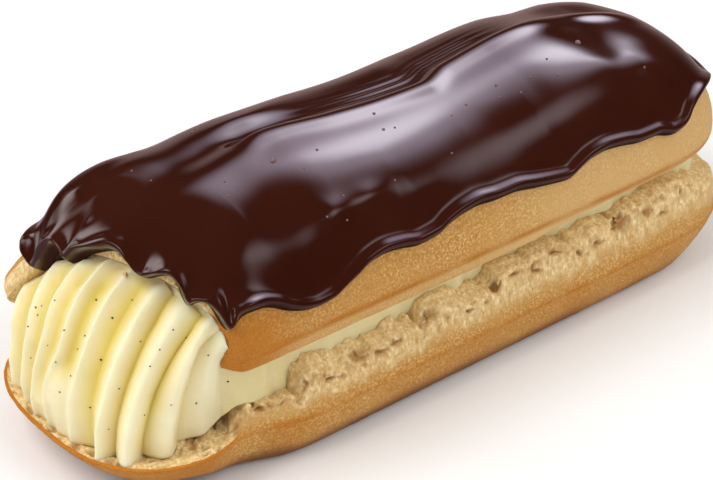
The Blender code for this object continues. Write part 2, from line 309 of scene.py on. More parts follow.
def rows_through(keys, counts):
    """Rows on a smooth curve through the key rows, each an (N, 3) array."""
    p = np.array(keys)
    out = []
    for i, n in enumerate(counts):
        p1, p2 = p[i], p[i + 1]
        p0 = p[i - 1] if i > 0 else 2 * p1 - p2
        p3 = p[i + 2] if i + 2 < len(p) else 2 * p2 - p1
        d0 = np.maximum(np.linalg.norm(p1 - p0, axis=-1, keepdims=True), 1e-3) ** 0.5
        d1 = np.maximum(np.linalg.norm(p2 - p1, axis=-1, keepdims=True), 1e-3) ** 0.5
        d2 = np.maximum(np.linalg.norm(p3 - p2, axis=-1, keepdims=True), 1e-3) ** 0.5
        m1 = ((p1 - p0) / d0 - (p2 - p0) / (d0 + d1) + (p2 - p1) / d1) * d1
        m2 = ((p2 - p1) / d1 - (p3 - p1) / (d1 + d2) + (p3 - p2) / d2) * d1
        for t in np.arange(n) / n:
            out.append(p1 * (2 * t**3 - 3 * t**2 + 1) + m1 * (t**3 - 2 * t**2 + t) + p2 * (3 * t**2 - 2 * t**3) + m2 * (t**3 - t**2))
    out.append(p[len(counts)])
    return np.array(out)


def grid_normals(p):
    """Unit normals of a grid that is closed round its columns."""
    dj = np.roll(p, -1, axis=1) - np.roll(p, 1, axis=1)
    di = np.gradient(p, axis=0)
    n = np.cross(di, dj)
    return n / np.maximum(np.linalg.norm(n, axis=-1, keepdims=True), 1e-9)


def outward(p):
    n = grid_normals(p)
    centre = np.array([0.0, 0.0, 22.0])
    away = p - centre
    away[..., 0] *= 0.2
    return n if (n * away).sum() > 0 else -n


def piece(name, p, marks, material, smooth_angle=None):
    """A closed mesh from a grid of rows and columns; marks are numbers on its points."""
    m, n = p.shape[:2]
    pts = p.reshape(-1, 3)
    idx = np.arange(m * n).reshape(m, n)
    a, b = idx[:-1], idx[1:]
    quads = np.stack([a, np.roll(a, -1, 1), np.roll(b, -1, 1), b], -1).reshape(-1, 4)
    key = np.round(pts / 1e-4).astype(np.int64)
    _, first, inv = np.unique(key, axis=0, return_index=True, return_inverse=True)
    quads = inv.reshape(-1)[quads]
    faces = []
    for q in quads.tolist():
        s = [v for k, v in enumerate(q) if v != q[k - 1]]
        if len(s) >= 3 and len(set(s)) == len(s):
            faces.append(s)
    mesh = bpy.data.meshes.new(name)
    mesh.from_pydata((pts[first] * MM).tolist(), [], faces)
    for mark, values in marks.items():
        at = mesh.attributes.new(mark, "FLOAT", "POINT")
        at.data.foreach_set("value", np.ascontiguousarray(np.broadcast_to(values, (m, n)).reshape(-1)[first], np.float32))
    return finish_mesh(name, mesh, material)


def finish_mesh(name, mesh, material):
    bm = bmesh.new()
    bm.from_mesh(mesh)
    seen = {}
    double = []
    for f in bm.faces:
        k = tuple(sorted(v.index for v in f.verts))
        if k in seen:
            double += [f, seen.pop(k)]
        else:
            seen[k] = f
    if double:
        bmesh.ops.delete(bm, geom=list(set(double)), context="FACES")
    loose = [v for v in bm.verts if not v.link_faces]
    bmesh.ops.delete(bm, geom=loose, context="VERTS")
    bmesh.ops.recalc_face_normals(bm, faces=bm.faces)
    bm.to_mesh(mesh)
    bm.free()
    mesh.shade_smooth()
    mesh.materials.append(material)
    obj = bpy.data.objects.new(name, mesh)
    bpy.context.scene.collection.objects.link(obj)
    return obj


# ------------------------------------------------------------------- materials
class Shader:
    """Short way to write a node tree."""

    def __init__(self, name):
        self.mat = bpy.data.materials.new(name)
        self.mat.use_nodes = True
        self.tree = self.mat.node_tree
        self.bsdf = self.tree.nodes["Principled BSDF"]
        self.coord = self.tree.nodes.new("ShaderNodeTexCoord").outputs["Object"]

    def node(self, kind, **settings):
        n = self.tree.nodes.new(kind)
        for k, v in settings.items():
            setattr(n, k, v)
        return n

    def put(self, socket, value):
        if isinstance(value, bpy.types.NodeSocket):
            self.tree.links.new(value, socket)
        else:
            socket.default_value = value

    def mark(self, name):
        return self.node("ShaderNodeAttribute", attribute_name=name).outputs["Fac"]

    def grain(self, size_mm, detail=2.0, rough=0.5, stretch=None, out="Fac"):
        n = self.node("ShaderNodeTexNoise")
        n.inputs["Scale"].default_value = 1000.0 / size_mm
        n.inputs["Detail"].default_value = detail
        n.inputs["Roughness"].default_value = rough
        v = self.coord
        if stretch:
            mp = self.node("ShaderNodeMapping")
            mp.inputs["Scale"].default_value = stretch
            self.put(mp.inputs["Vector"], v)
            v = mp.outputs["Vector"]
        self.put(n.inputs["Vector"], v)
        return n.outputs[out]

    def ramp(self, fac, stops, kind="LINEAR"):
        n = self.node("ShaderNodeValToRGB")
        n.color_ramp.interpolation = kind
        e = n.color_ramp.elements
        while len(e) < len(stops):
            e.new(0.5)
        for k, (at, col) in enumerate(stops):
            e[k].position = at
            e[k].color = (*col, 1.0) if len(col) == 3 else col
        self.put(n.inputs["Fac"], fac)
        return n.outputs["Color"]

    def blend(self, fac, a, b, kind="MIX"):
        n = self.node("ShaderNodeMix", data_type="RGBA", blend_type=kind)
        self.put(n.inputs[0], fac)
        self.put(n.inputs[6], a if isinstance(a, bpy.types.NodeSocket) else (*a, 1.0))
        self.put(n.inputs[7], b if isinstance(b, bpy.types.NodeSocket) else (*b, 1.0))
        return n.outputs[2]

    def math(self, op, a, b=0.5, c=0.5, clamp=False):
        n = self.node("ShaderNodeMath", operation=op, use_clamp=clamp)
        self.put(n.inputs[0], a)
        self.put(n.inputs[1], b)
        if len(n.inputs) > 2:
            self.put(n.inputs[2], c)
        return n.outputs[0]

    def span(self, v, a, b, c=0.0, d=1.0):
        n = self.node("ShaderNodeMapRange", interpolation_type="SMOOTHSTEP")
        self.put(n.inputs["Value"], v)
        for k, q in zip(("From Min", "From Max", "To Min", "To Max"), (a, b, c, d)):
            self.put(n.inputs[k], q)
        return n.outputs["Result"]

    def bump(self, height, mm, strength=1.0, under=None):
        n = self.node("ShaderNodeBump")
        n.inputs["Strength"].default_value = strength
        n.inputs["Distance"].default_value = mm * MM
        self.put(n.inputs["Height"], height)
        if under is not None:
            self.put(n.inputs["Normal"], under)
        return n.outputs["Normal"]


def bun_material(name):
    s = Shader(name)
    crumb, brown, painted_hollow_shade, pale = s.mark("crumb"), s.mark("brown"), s.mark("painted_hollow_shade"), s.mark("pale")
    fine = s.grain(0.42, 3.0, 0.65)
    patch = s.grain(9.0, 3.0, 0.55)
    spot = s.grain(1.6, 2.0, 0.6)
    crust = s.ramp(fine, [(0.30, (0.40, 0.185, 0.038)), (0.50, (0.54, 0.275, 0.066)), (0.70, (0.83, 0.545, 0.225))])
    crust = s.blend(s.span(patch, 0.35, 0.7), crust, s.blend(0.5, crust, (0.56, 0.29, 0.07)))
    crust = s.blend(s.math("MULTIPLY", pale, 0.8, clamp=True), crust, (0.69, 0.46, 0.20))
    toast = s.ramp(fine, [(0.25, (0.41, 0.135, 0.010)), (0.75, (0.56, 0.225, 0.027))])
    # painted shade: the crust darkened where it meets the floor
    painted_floor_shade = s.mark("painted_floor_shade")
    col = s.blend(brown, crust, toast)
    col = s.blend(painted_floor_shade, col, (0.20, 0.075, 0.020))
    inner = s.ramp(s.grain(0.55, 3.0, 0.6, (1.0, 1.0, 0.45)), [(0.28, (0.55, 0.335, 0.110)), (0.5, (0.77, 0.555, 0.265)), (0.72, (0.94, 0.785, 0.49))])
    inner = s.blend(s.span(spot, 0.45, 0.75), inner, (0.66, 0.44, 0.18))
    col = s.blend(crumb, col, inner)
    # painted shade in the crumb's pores, holes and crevices
    col = s.blend(s.math("MULTIPLY", painted_hollow_shade, 0.85, clamp=True), col, (0.38, 0.17, 0.045))
    s.put(s.bsdf.inputs["Base Color"], col)
    s.put(s.bsdf.inputs["Roughness"], s.span(crumb, 0.0, 1.0, 0.58, 0.8))
    s.bsdf.inputs["Specular IOR Level"].default_value = 0.22
    s.bsdf.inputs["Subsurface Weight"].default_value = 0.18
    s.bsdf.inputs["Subsurface Radius"].default_value = (1.0, 0.55, 0.25)
    s.bsdf.inputs["Subsurface Scale"].default_value = 0.0012
    n1 = s.bump(fine, 0.16, 0.55)
    n2 = s.bump(s.grain(0.9, 2.0, 0.5), 0.22, 0.4, n1)
    s.put(s.bsdf.inputs["Normal"], n2)
    return s.mat


def cream_material():
    s = Shader("vanilla_cream")
    painted_valley_shade, low = s.mark("painted_valley_shade"), s.mark("low")
    pale = s.ramp(s.grain(6.0, 2.0, 0.5), [(0.3, (0.86, 0.785, 0.52)), (0.7, (0.90, 0.84, 0.59))])
    # painted shade in the valleys between the piped ridges
    col = s.blend(painted_valley_shade, pale, (0.74, 0.56, 0.09))
    # low is painted shade on the cream tucked between the buns and on the block under the near corner
    col = s.blend(s.math("MULTIPLY", low, 0.5, clamp=True), col, (0.66, 0.53, 0.20))
    s.put(s.bsdf.inputs["Base Color"], col)
    s.bsdf.inputs["Roughness"].default_value = 0.38
    s.bsdf.inputs["Specular IOR Level"].default_value = 0.4
    s.bsdf.inputs["Subsurface Weight"].default_value = 0.45
    s.bsdf.inputs["Subsurface Radius"].default_value = (1.0, 0.75, 0.30)
    s.bsdf.inputs["Subsurface Scale"].default_value = 0.0022
    n = s.bump(s.grain(1.4, 2.0, 0.5), 0.10, 0.35)
    n = s.bump(s.grain(0.35, 1.0, 0.5), 0.03, 0.3, n)
    s.put(s.bsdf.inputs["Normal"], n)
    return s.mat


def glaze_material():
    s = Shader("chocolate_glaze")
    thin = s.mark("thin")
    tone = s.ramp(s.grain(14.0, 2.0, 0.5), [(0.3, (0.031, 0.0054, 0.0023)), (0.7, (0.040, 0.0076, 0.0032))])
    col = s.blend(s.math("MULTIPLY", thin, 0.35, clamp=True), tone, (0.030, 0.0075, 0.0050))
    s.put(s.bsdf.inputs["Base Color"], col)
    s.put(s.bsdf.inputs["Roughness"], s.math("ADD", s.span(s.grain(7.0, 2.0, 0.5), 0.2, 0.8, 0.07, 0.12), s.span(thin, 0.55, 1.0, 0.0, 0.52)))
    s.bsdf.inputs["IOR"].default_value = 1.5
    # the lip's lower face is set dull and dark
    s.put(s.bsdf.inputs["Specular IOR Level"], s.span(thin, 0.6, 1.0, 0.5, 0.08))
    s.put(s.bsdf.inputs["Coat Weight"], s.span(thin, 0.6, 1.0, 0.25, 0.0))
    s.bsdf.inputs["Coat Roughness"].default_value = 0.05
    n = s.bump(s.grain(5.0, 2.0, 0.5), 0.03, 0.2)
    s.put(s.bsdf.inputs["Normal"], n)
    return s.mat


def plain_material(name, stops, size_mm, rough, bump_mm=0.05):
    s = Shader(name)
    g = s.grain(size_mm, 2.0, 0.6)
    s.put(s.bsdf.inputs["Base Color"], s.ramp(g, stops))
    s.bsdf.inputs["Roughness"].default_value = rough
    s.put(s.bsdf.inputs["Normal"], s.bump(g, bump_mm, 0.6))
    return s.mat


# ----------------------------------------------------------------- bottom bun
# torn upper edge of the near side, (x, height)
TORN_NEAR = [(-60, 12.4), (-48, 12.6), (-44, 12.5), (-40, 12.2), (-37.6, 12.6), (-36.2, 15.0), (-34, 15.6), (-29, 15.0), (-24, 15.6), (-18, 15.1), (-12, 15.6), (-9, 17.2), (-4, 16.0), (1, 15.2), (4, 16.2),
             (7, 18.4), (12, 17.6), (17, 18.2), (23, 17.4), (29, 17.9), (34, 18.2), (39, 18.9), (43, 19.4), (47, 20.2), (52, 19.4), (57, 17.6), (62, 16.2), (71, 14.8)]
# larger torn holes of the near side: (x, height, half-width, half-height)
HOLES = [(-10.4, 16.6, 1.7, 1.5), (-25.0, 15.0, 1.6, 1.1), (-21.0, 14.2, 1.3, 0.9), (-36.6, 14.4, 0.9, 0.6), (-17.6, 14.4, 1.1, 0.6), (4.6, 15.9, 0.8, 1.1),
         (-1.4, 14.0, 0.9, 0.4), (35.0, 17.3, 2.0, 2.0), (41.8, 17.0, 1.3, 1.5), (19.0, 17.5, 1.7, 0.8), (9.1, 17.0, 1.4, 0.6), (51.0, 17.9, 0.6, 1.2), (24.5, 15.1, 0.6, 1.1),
         (45.7, 15.3, 1.0, 0.7), (-31.5, 13.6, 1.0, 0.6), (14.2, 15.6, 1.2, 0.5), (29.0, 15.4, 0.9, 0.6), (-44.0, 12.2, 1.0, 0.7)]


def torn_edge(x, y):
    far = 15.6 + 2.6 * smooth(-6, 12, x) + 1.0 * smooth(32, 50, x) - 2.8 * smooth(50, 70, x) + 0.7 * np.sin(x * 0.21 + 2.0) + 0.5 * np.sin(x * 0.53)
    near = curve(x, *zip(*TORN_NEAR))
    side = mix(far, near, smooth(6, -6, y))
    return mix(side, DISH_Z, shelf_share(x, y))


def bottom_bun():
    c = Columns(side=275, back=180, front=300)
    big = c.reach(base_outline)
    x, y = c.at(big - 2.0)
    around = np.stack([x, y, 0 * x], -1)
    open_end = shelf_share(x, y)
    wall = WALL + 4.5 * smooth(-38, -60, x)
    fringe = 0.95 * layers(around, 2.4, 3, 5) + 0.55 * noise(around, 0.8, 9)
    ends = smooth(56, 64, x)
    zt = torn_edge(x, y) + fringe * (1 - 0.75 * open_end) * (1 - 0.6 * ends)
    zt = np.minimum(zt, ledge(x) + 0.2)
    inset = BASE_INSET + (BASE_INSET_FRONT - BASE_INSET) * smooth(-44, -62, x) ** 0.8 + (BASE_INSET_BACK - BASE_INSET) * smooth(50, 66, x)
    rise = lambda f: BASE_RIDGE_Z + (zt - BASE_RIDGE_Z) * f
    pt = c.points
    dish = 0.55 * open_end
    # behind the torn edge the crumb climbs towards the ledge of the top bun
    climb = mix(1.0, 0.45, smooth(0, 20, x)) * np.minimum(1.2 + 1.9 * layers(around, 3.4, 3, 15), ledge(x) - 2.3 - zt)
    climb = np.maximum(climb, -0.4) * (1 - 0.5 * ends)
    climb = climb * np.where(y < 0, smooth(-38.0, -36.0, x), 1.0)
    keys = [
        pt(0 * big, 0 * big),
        pt(big - inset - 1.2, 0 * big),
        pt(big - inset - 0.1, 0.10),
        pt(big - inset * 0.80, 0.8),
        pt(big - inset * 0.62, 1.7),
        pt(big - inset * 0.34, 3.9),
        pt(big - inset * 0.13, 6.4),
        pt(big - 0.28, 8.0),
        pt(big - 0.02, BASE_RIDGE_Z),
        pt(big - 0.20, rise(0.06) + 0.25 * (1 - open_end)),
        pt(big - 0.55, rise(0.30)),
        pt(big - 0.80, rise(0.70)),
        pt(big - 1.30, rise(0.93)),
        pt(big - 2.1, zt),
        pt(big - 3.3, mix(zt + climb * 0.55, zt - 0.25 - dish * 0.5, open_end)),
        pt(big - 4.8, mix(zt + climb, zt - 0.1 - dish, open_end)),
        pt(big - wall, mix(zt + climb * 0.5, zt - 0.2 - dish, open_end)),
        pt(big - wall - 1.4, FLOOR_Z + 0.8 + 0 * big),
        pt(big - wall - 4.0, FLOOR_Z + 0 * big),
        pt(0 * big, FLOOR_Z + 0 * big),
    ]
    p = rows_through(keys, (3, 2, 2, 2, 3, 4, 3, 2, 2, 5, 12, 8, 4, 6, 8, 6, 3, 2, 2))
    m = p.shape[0]
    X, Y, Z = p[..., 0], p[..., 1], p[..., 2]
    n = outward(p)
    row = np.arange(m)[:, None]
    above = smooth(24, 28, row)  # rows past the ridge
    f = np.clip((Z - BASE_RIDGE_Z) / np.maximum(zt - BASE_RIDGE_Z, 0.8), 0, 2)
    lean = np.stack([X + 0.35 * Z, Y, Z], -1)
    edge_noise = layers(lean, (1.5, 1.5, 5.0), 3, 31)
    past = smooth(43.0, 47.0, row)
    start = mix(0.28, 0.62, smooth(-36, -40, X) * (Y < 0))
    side_crumb = smooth(start, start + 0.26, f + 0.34 * edge_noise - 0.55 * ends) * above
    crumb = np.maximum(side_crumb * (1 - open_end), past * (1 - ends * 0.5))
    crumb = np.maximum(crumb, open_end * smooth(27, 31, row + 1.5 * edge_noise))
    crumb = np.where(row > 60, 1.0, crumb)
    # relief
    fibre = layers(lean, (0.75, 0.75, 2.8), 3, 41)
    lump = layers(p, 1.5, 3, 51)
    side_face = (1 - open_end) * (row < 49)
    d = crumb * (side_face * (0.46 * fibre + 0.26 * lump + 0.12 * noise(p, 0.45, 57)) + (1 - side_face) * (0.30 * lump + 0.10 * noise(p, 0.6, 61)))
    holes = np.zeros_like(X)
    near = smooth(0, -8, Y) * (1 - open_end)
    warp, warp2 = layers(p, 1.6, 2, 73), layers(p, 1.6, 2, 75)
    for hx, hz, rx, rz in HOLES:
        ex = (X + 0.35 * (Z - hz) - hx) / (rx * 1.15) + 0.35 * warp
        ez = (Z - hz) / (rz * 0.9) + 0.35 * warp2
        wob = 1 + 0.5 * layers(p, 1.3, 2, 71)
        holes = np.maximum(holes, np.clip(1 - (np.abs(ex) ** 1.7 + np.abs(ez) ** 1.7) * wob, 0, 1) * near * (row < 56))
    ragged = lean + np.stack([warp, 0 * warp, warp2], -1) * 0.5
    small = flat_pores(ragged[..., 0], Z * 0.8 + 0.4 * warp, 1.9, 0.42, 0.2, 0.75, 81) * side_crumb * side_face * smooth(0.35, 0.8, f)
    shelf = flat_pores(X + 0.7 * warp, Y + 0.7 * warp2, 2.7, 0.60, 0.35, 1.25, 91) * open_end * (row > 28) * smooth(27, 33, row)
    shelf = np.maximum(shelf, 0.7 * flat_pores(X - 0.4 * warp, Y, 1.3, 0.5, 0.2, 0.5, 95) * open_end * (row > 29))
    dots = pores(p, 1.15, 0.35, 0.15, 0.38, 101) * crumb
    d = d - 1.25 * holes**0.8 - 0.50 * small**0.8 - 0.95 * shelf**0.7 - 0.20 * dots
    # the baked skin: faint dimples, with a soft roll along the ridge
    d = d + (1 - crumb) * (0.06 * layers(p, 3.0, 2, 111) + 0.03 * noise(p, 0.8, 121)) * smooth(2, 5, row) * (row < 60)
    d = np.where(row < 2, 0.0, d)
    p = p + n * d[..., None]
    p[..., 2] = np.maximum(p[..., 2], 0.0)
    p[0, :, 2] = 0.0
    p[1:4, :, 2] = 0.0
    out_lim = HALF_LENGTH
    p[..., 0] = np.clip(p[..., 0], -out_lim, out_lim)
    p[..., 1] = np.clip(p[..., 1], -HALF_WIDTH, HALF_WIDTH)
    ridge = np.exp(-(((Z - BASE_RIDGE_Z) / 0.55) ** 2)) * (row > 18) * (row < 40)
    foot = smooth(2.6, 0.3, Z) * (row < 20)
    # the foot term browns the crust next to the floor as painted shade; the ridge term is the crust's own toasting
    brown = np.clip(0.80 * ridge * (0.7 + 0.4 * noise(p, 4.0, 131)) + 0.75 * foot + 0.30 * smooth(24, 18, row) + 0.28 * noise(p, 8.0, 141) * (row < 24), 0, 1)
    brown = np.clip(brown + 0.5 * open_end * (row < 30) * smooth(-40, -60, X), 0, 1)
    # hollow and band pick out low spots of the crumb and the crease just under the torn edge; with the pores they are
    # darkened as painted shade
    hollow = smooth(0.1, -0.5, fibre + 0.5 * lump) * side_face * crumb
    band = np.exp(-(((Z - zt + 0.5) / 1.1) ** 2)) * smooth(-0.1, 0.6, layers(p * [1, 1, 0.4], 2.6, 2, 87)) * side_face * crumb
    painted_hollow_shade = np.clip(0.95 * holes**0.8 + 0.6 * small + 0.70 * shelf**0.7 + 0.35 * dots + 0.30 * hollow + 0.55 * band, 0, 1)
    # the ends term lightens the upper back end of the bottom bun as painted light where the lamps fall brightest; the
    # rest is the paler wall above the ridge
    pale = np.clip(smooth(0.05, 0.5, f) * above * 0.5 + 0.9 * ends * smooth(9, 13, Z), 0, 1) * (1 - open_end)
    # painted shade where the bun meets the floor, stronger towards the opened end
    painted_floor_shade = np.clip(smooth(5.0, 0.8, Z) * 0.95 * smooth(34, 20, X) + smooth(4.2, 0.6, Z) * 0.5 * smooth(20, 34, X) + 0.2 * noise(p, 6.0, 151) * smooth(7, 2, Z), 0, 1) * (row < 22)
    return piece("bottom_bun_baked", p, {"crumb": crumb, "brown": brown, "painted_hollow_shade": painted_hollow_shade, "pale": pale, "painted_floor_shade": painted_floor_shade}, BUN)


# --------------------------------------------------------------------- top bun
def inner_dome(c, out, share, t_list, shrink=0.0, face_share=None):
    _, ye = c.at(out)
    low = ledge(c.at(out)[0]) + 0.3
    crown = spine_height(c.sx) - 7.5 - shrink
    arch_in = arch_edge(ye * 1.12) - ARCH_GAP - shrink
    arch_in = np.where(np.abs(ye) > 20.5, low - shrink, np.maximum(arch_in, low - shrink))
    rows = []
    for t in t_list:
        a = t * math.pi / 2
        r_side = (out - TOP_WALL - shrink) * np.sin(a) ** (2 / 2.6)
        z_side = low + (crown - low) * np.cos(a) ** (2 / 2.3)
        z_front = arch_in + (crown - arch_in) * np.cos(a) ** 1.3
        f = share if face_share is None else mix(share, face_share, smooth(0.5, 1.0, t))
        rows.append((mix(r_side, out * t, f), mix(z_side, z_front, f)))
    return rows


def top_bun():
    c = Columns(side=275, back=180, front=300)
    out = c.reach(top_outline)
    share = front_share(c, out)
    x, y = c.at(out)
    low = ledge(x)
    keys = [c.points(r, z) for r, z in zip(*dome_rows(c, (0, 0.12, 0.24, 0.36, 0.48, 0.6, 0.7, 0.78, 0.86, 0.93, 1.0), out, share, 11))]
    # the crust wraps round the near corner, so the torn face starts behind it
    torn = share * np.where(c.fan > 180, smooth(247, 239, c.fan), smooth(112, 122, c.fan))
    inner = inner_dome(c, out, share, (0.0, 0.3, 0.6, 0.85, 1.0), face_share=torn)
    edge, leg = keys[-1][:, 2], inner[-1][1]

    def face(side_r, side_z, f):
        return c.points(mix(side_r, out, torn), mix(side_z, edge + (leg - edge) * f, torn))

    keys.append(face(out - 0.25, TOP_RIDGE_Z - 0.9, 0.2))
    keys.append(face(out - 0.75, TOP_RIDGE_Z - 1.8, 0.45))
    keys.append(face(out - 1.0, mix(TOP_RIDGE_Z - 1.8, low, 0.55), 0.7))
    keys.append(face(out - 1.35, low + 0.35, 0.9))
    keys.append(face(out - 2.0, low - 0.05, 0.97))
    keys.append(face(out - 3.4, low + 0.15, 1.0))
    for r, z in inner[::-1]:
        keys.append(c.points(r, z))
    p = rows_through(keys, (2, 2, 2, 3, 4, 5, 5, 6, 6, 6, 4, 4, 4, 4, 2, 2, 1, 3, 2, 2, 2))
    m = p.shape[0]
    row = np.arange(m)[:, None]
    X, Y, Z = p[..., 0], p[..., 1], p[..., 2]
    # the wall's far end stands out beyond the torn face as a slab
    slab = smooth(12.0, 16.0, Y) * smooth(-49, -58, X) * smooth(32.0, 27.0, Z)
    p = p + np.stack([-4.6 * slab, 2.0 * slab * smooth(-66, -58, X), -3.4 * slab], -1)
    X, Y, Z = p[..., 0], p[..., 1], p[..., 2]
    n = outward(p)
    cut = smooth(0.45, 0.95, torn) * (row >= 40) * (row < 60)
    crumb = np.clip(cut * smooth(40, 43, row + 1.2 * layers(p, 1.5, 2, 201)), 0, 1)
    crumb = np.maximum(crumb, 1.0 * (row >= 59))
    tuck = smooth(43, 47, row) * (row < 60) * (1 - torn)
    # broad wrinkles of the baked skin and its sandy grain
    skin = (row < 46) * (1 - crumb)
    d = skin * (0.10 * layers(p * [0.6, 1, 1], 4.0, 3, 211) + 0.045 * noise(p, 0.75, 221) + 0.02 * noise(p, 0.45, 223))
    d = d + crumb * cut * (0.35 * layers(p, 1.3, 3, 231))
    dots = pores(p, 1.3, 0.4, 0.2, 0.5, 241) * crumb * (row < 60)
    dimple = pores(p, 6.0, 0.35, 0.4, 1.0, 251) * skin
    d = d - 0.3 * dots - 0.12 * dimple
    d = d + tuck * 0.10 * layers(p, (3.5, 3.5, 1.2), 2, 261)
    p = p + n * (d * smooth(0, 3, row) * (row < m - 4))[..., None]
    ridge = np.exp(-(((Z - TOP_RIDGE_Z + 0.55) / 0.75) ** 2)) * (row > 34) * (row < 52) * (1 - share)
    corner = smooth(-34, -49, X) * smooth(-8, -19, Y) * smooth(35, 27, Z)
    far_corner = smooth(-48, -60, X) * smooth(4, 14, Y) * 0.5
    under = smooth(1.6, 0.0, np.abs(Z - (TOP_RIDGE_Z - 1.4))) * (row > 40) * (row < 50) * 0.25
    brown = np.clip(0.75 * ridge * (0.8 + 0.4 * noise(p, 5.0, 271)) + 1.0 * corner + far_corner + under + 0.20 * smooth(4, -44, X) * (Y < 0), 0, 1) * (1 - crumb)
    pale = np.clip(tuck * 0.55 + smooth(-4, 26, X) * 0.7, 0, 1)
    # the pores of the torn crumb are darkened as painted shade
    return piece("top_bun_baked", p, {"crumb": crumb, "brown": brown, "painted_hollow_shade": 0.6 * dots, "pale": pale, "painted_floor_shade": 0 * brown}, BUN)


# ----------------------------------------------------------------------- glaze
def ease_end(p, at, way_out, soft=3.4):
    """Change in distance from a centre inside one end (-1 front, 1 back) that melts the skin's radial creases there."""
    hub = FRONT_HUB if way_out < 0 else BACK_HUB
    mid = np.array([hub - 3.0 * way_out, -1.0, 21.0])
    m, n = p.shape[:2]
    idx = np.arange(m * n).reshape(m, n)
    a, b = idx[:-1], idx[1:]
    quads = np.stack([a, np.roll(a, -1, 1), np.roll(b, -1, 1), b], -1).reshape(-1, 4)
    tree = BVHTree.FromPolygons(p.reshape(-1, 3).tolist(), quads.tolist())
    step = 1.25
    alpha = np.radians(np.arange(-24, 204.1, step))
    beta = np.radians(np.arange(14, 152.1, step))
    raw = np.zeros((len(beta), len(alpha)))
    seen = np.zeros_like(raw)
    centre = Vector(mid)
    for i, q in enumerate(beta):
        for j, w in enumerate(alpha):
            way = Vector((way_out * math.cos(q), math.sin(q) * math.cos(w), math.sin(q) * math.sin(w)))
            hit = tree.ray_cast(centre, way)[0]
            if hit is not None:
                raw[i, j], seen[i, j] = (hit - centre).length, 1.0
    typical = 24.0
    k = np.arange(-30, 31) * math.radians(step)

    def blur(q):
        w = np.exp(-((k / (soft / typical)) ** 2) / 2)
        q = np.apply_along_axis(lambda c: np.convolve(c, w, "full")[30:-30], 0, q)
        rows = []
        for i, row in enumerate(q):
            w = np.exp(-((k / (soft / typical / math.sin(beta[i]))) ** 2) / 2)
            rows.append(np.convolve(row, w / w.sum(), "full")[30:-30])
        return np.array(rows)

    low = np.maximum(blur(seen), 1e-6)
    once = blur(raw * seen) / low
    twice = blur(once * seen) / low
    want = np.where(seen > 0, 2 * once - twice, 0.0)
    ray = at - mid
    far = np.linalg.norm(ray, axis=-1)
    ray = ray / far[..., None]
    q = np.arccos(np.clip(way_out * ray[..., 0], -1, 1))
    w = np.arctan2(ray[..., 2], ray[..., 1])
    w = np.where(w < -math.pi / 2, w + 2 * math.pi, w)
    u, v = (q - beta[0]) / math.radians(step), (w - alpha[0]) / math.radians(step)
    i0, j0 = np.clip(np.floor(u).astype(int), 0, len(beta) - 2), np.clip(np.floor(v).astype(int), 0, len(alpha) - 2)
    fu, fv = np.clip(u - i0, 0, 1), np.clip(v - j0, 0, 1)

    def at_points(q):
        return (q[i0, j0] * (1 - fu) + q[i0 + 1, j0] * fu) * (1 - fv) + (q[i0, j0 + 1] * (1 - fu) + q[i0 + 1, j0 + 1] * fu) * fv

    d = np.where(at_points(seen) > 0.999, at_points(want) - far, 0.0)
    past = (at[..., 0] - hub) * way_out
    return ray * (np.clip(d, -1.6, 1.6) * smooth(-22, -8, past))[..., None]


# lower edge of the glaze round the bun: (way, height)
LIP = [(-90, 31.4), (-82, 30.9), (-74, 31.2), (-67, 32.2), (-60, 33.0), (-52, 33.3), (-44, 32.9), (-30, 31.6), (-14, 32.4), (0, 31.0), (16, 32.6), (34, 31.2), (52, 32.8), (70, 31.0),
       (88, 32.4), (98, 30.6), (108, 32.0), (122, 30.2), (136, 32.2), (148, 30.4), (160, 32.0), (172, 29.9), (186, 31.4), (198, 29.4), (208, 30.6), (218, 29.6), (226, 29.6), (230.6, 29.2),
       (233.1, 28.1), (236.0, 27.6), (239.6, 29.3), (243.0, 31.2), (244.3, 33.0), (245.6, 34.2), (247.3, 33.4), (250.3, 32.4), (254.6, 31.9), (257.1, 32.7), (259.8, 33.8), (266.1, 35.0),
       (272, 35.8), (278.1, 36.4), (284.6, 36.3), (288.5, 35.6), (292.3, 34.8), (299.6, 34.2), (306.9, 34.8), (312.9, 35.6), (316.0, 35.7), (317.2, 35.0), (318.2, 33.8), (320.6, 32.5),
       (324.4, 32.4), (329.6, 33.3), (331.6, 33.2), (332.7, 32.2), (333.6, 30.4), (334.8, 29.2), (336.2, 29.1), (337.8, 30.0), (339.6, 31.0), (344.1, 31.5), (350.6, 31.4), (355.3, 30.8),
       (360, 29.7), (363, 28.8), (366.2, 28.4), (369.4, 28.6), (372.2, 29.4), (375.4, 30.3), (378.2, 31.2), (381.9, 31.6), (385.3, 31.3), (389.1, 30.8), (393.4, 31.0), (397.1, 31.8),
       (400.5, 32.3), (403.9, 32.5), (408.4, 32.2), (412.3, 32.2), (417.2, 31.6), (420.9, 31.2), (425.1, 30.9), (428.4, 31.6), (431.8, 32.4), (435.4, 32.7), (439.3, 32.4), (444.2, 31.7), (450, 31.4)]
# far edge of the near lobe, (x, y): beyond it the glaze dips into the valley
CREST = [(-62, -3.5), (-50, -2.8), (-40, -1.5), (-31, 0.6), (-25, 1.2), (-13, -0.2), (1, -0.7), (7, -0.9), (14, 1.5), (24, 2.4), (34, 2.7), (44, 2.1), (50, 0.2), (58, -3.0), (66, -7.0)]


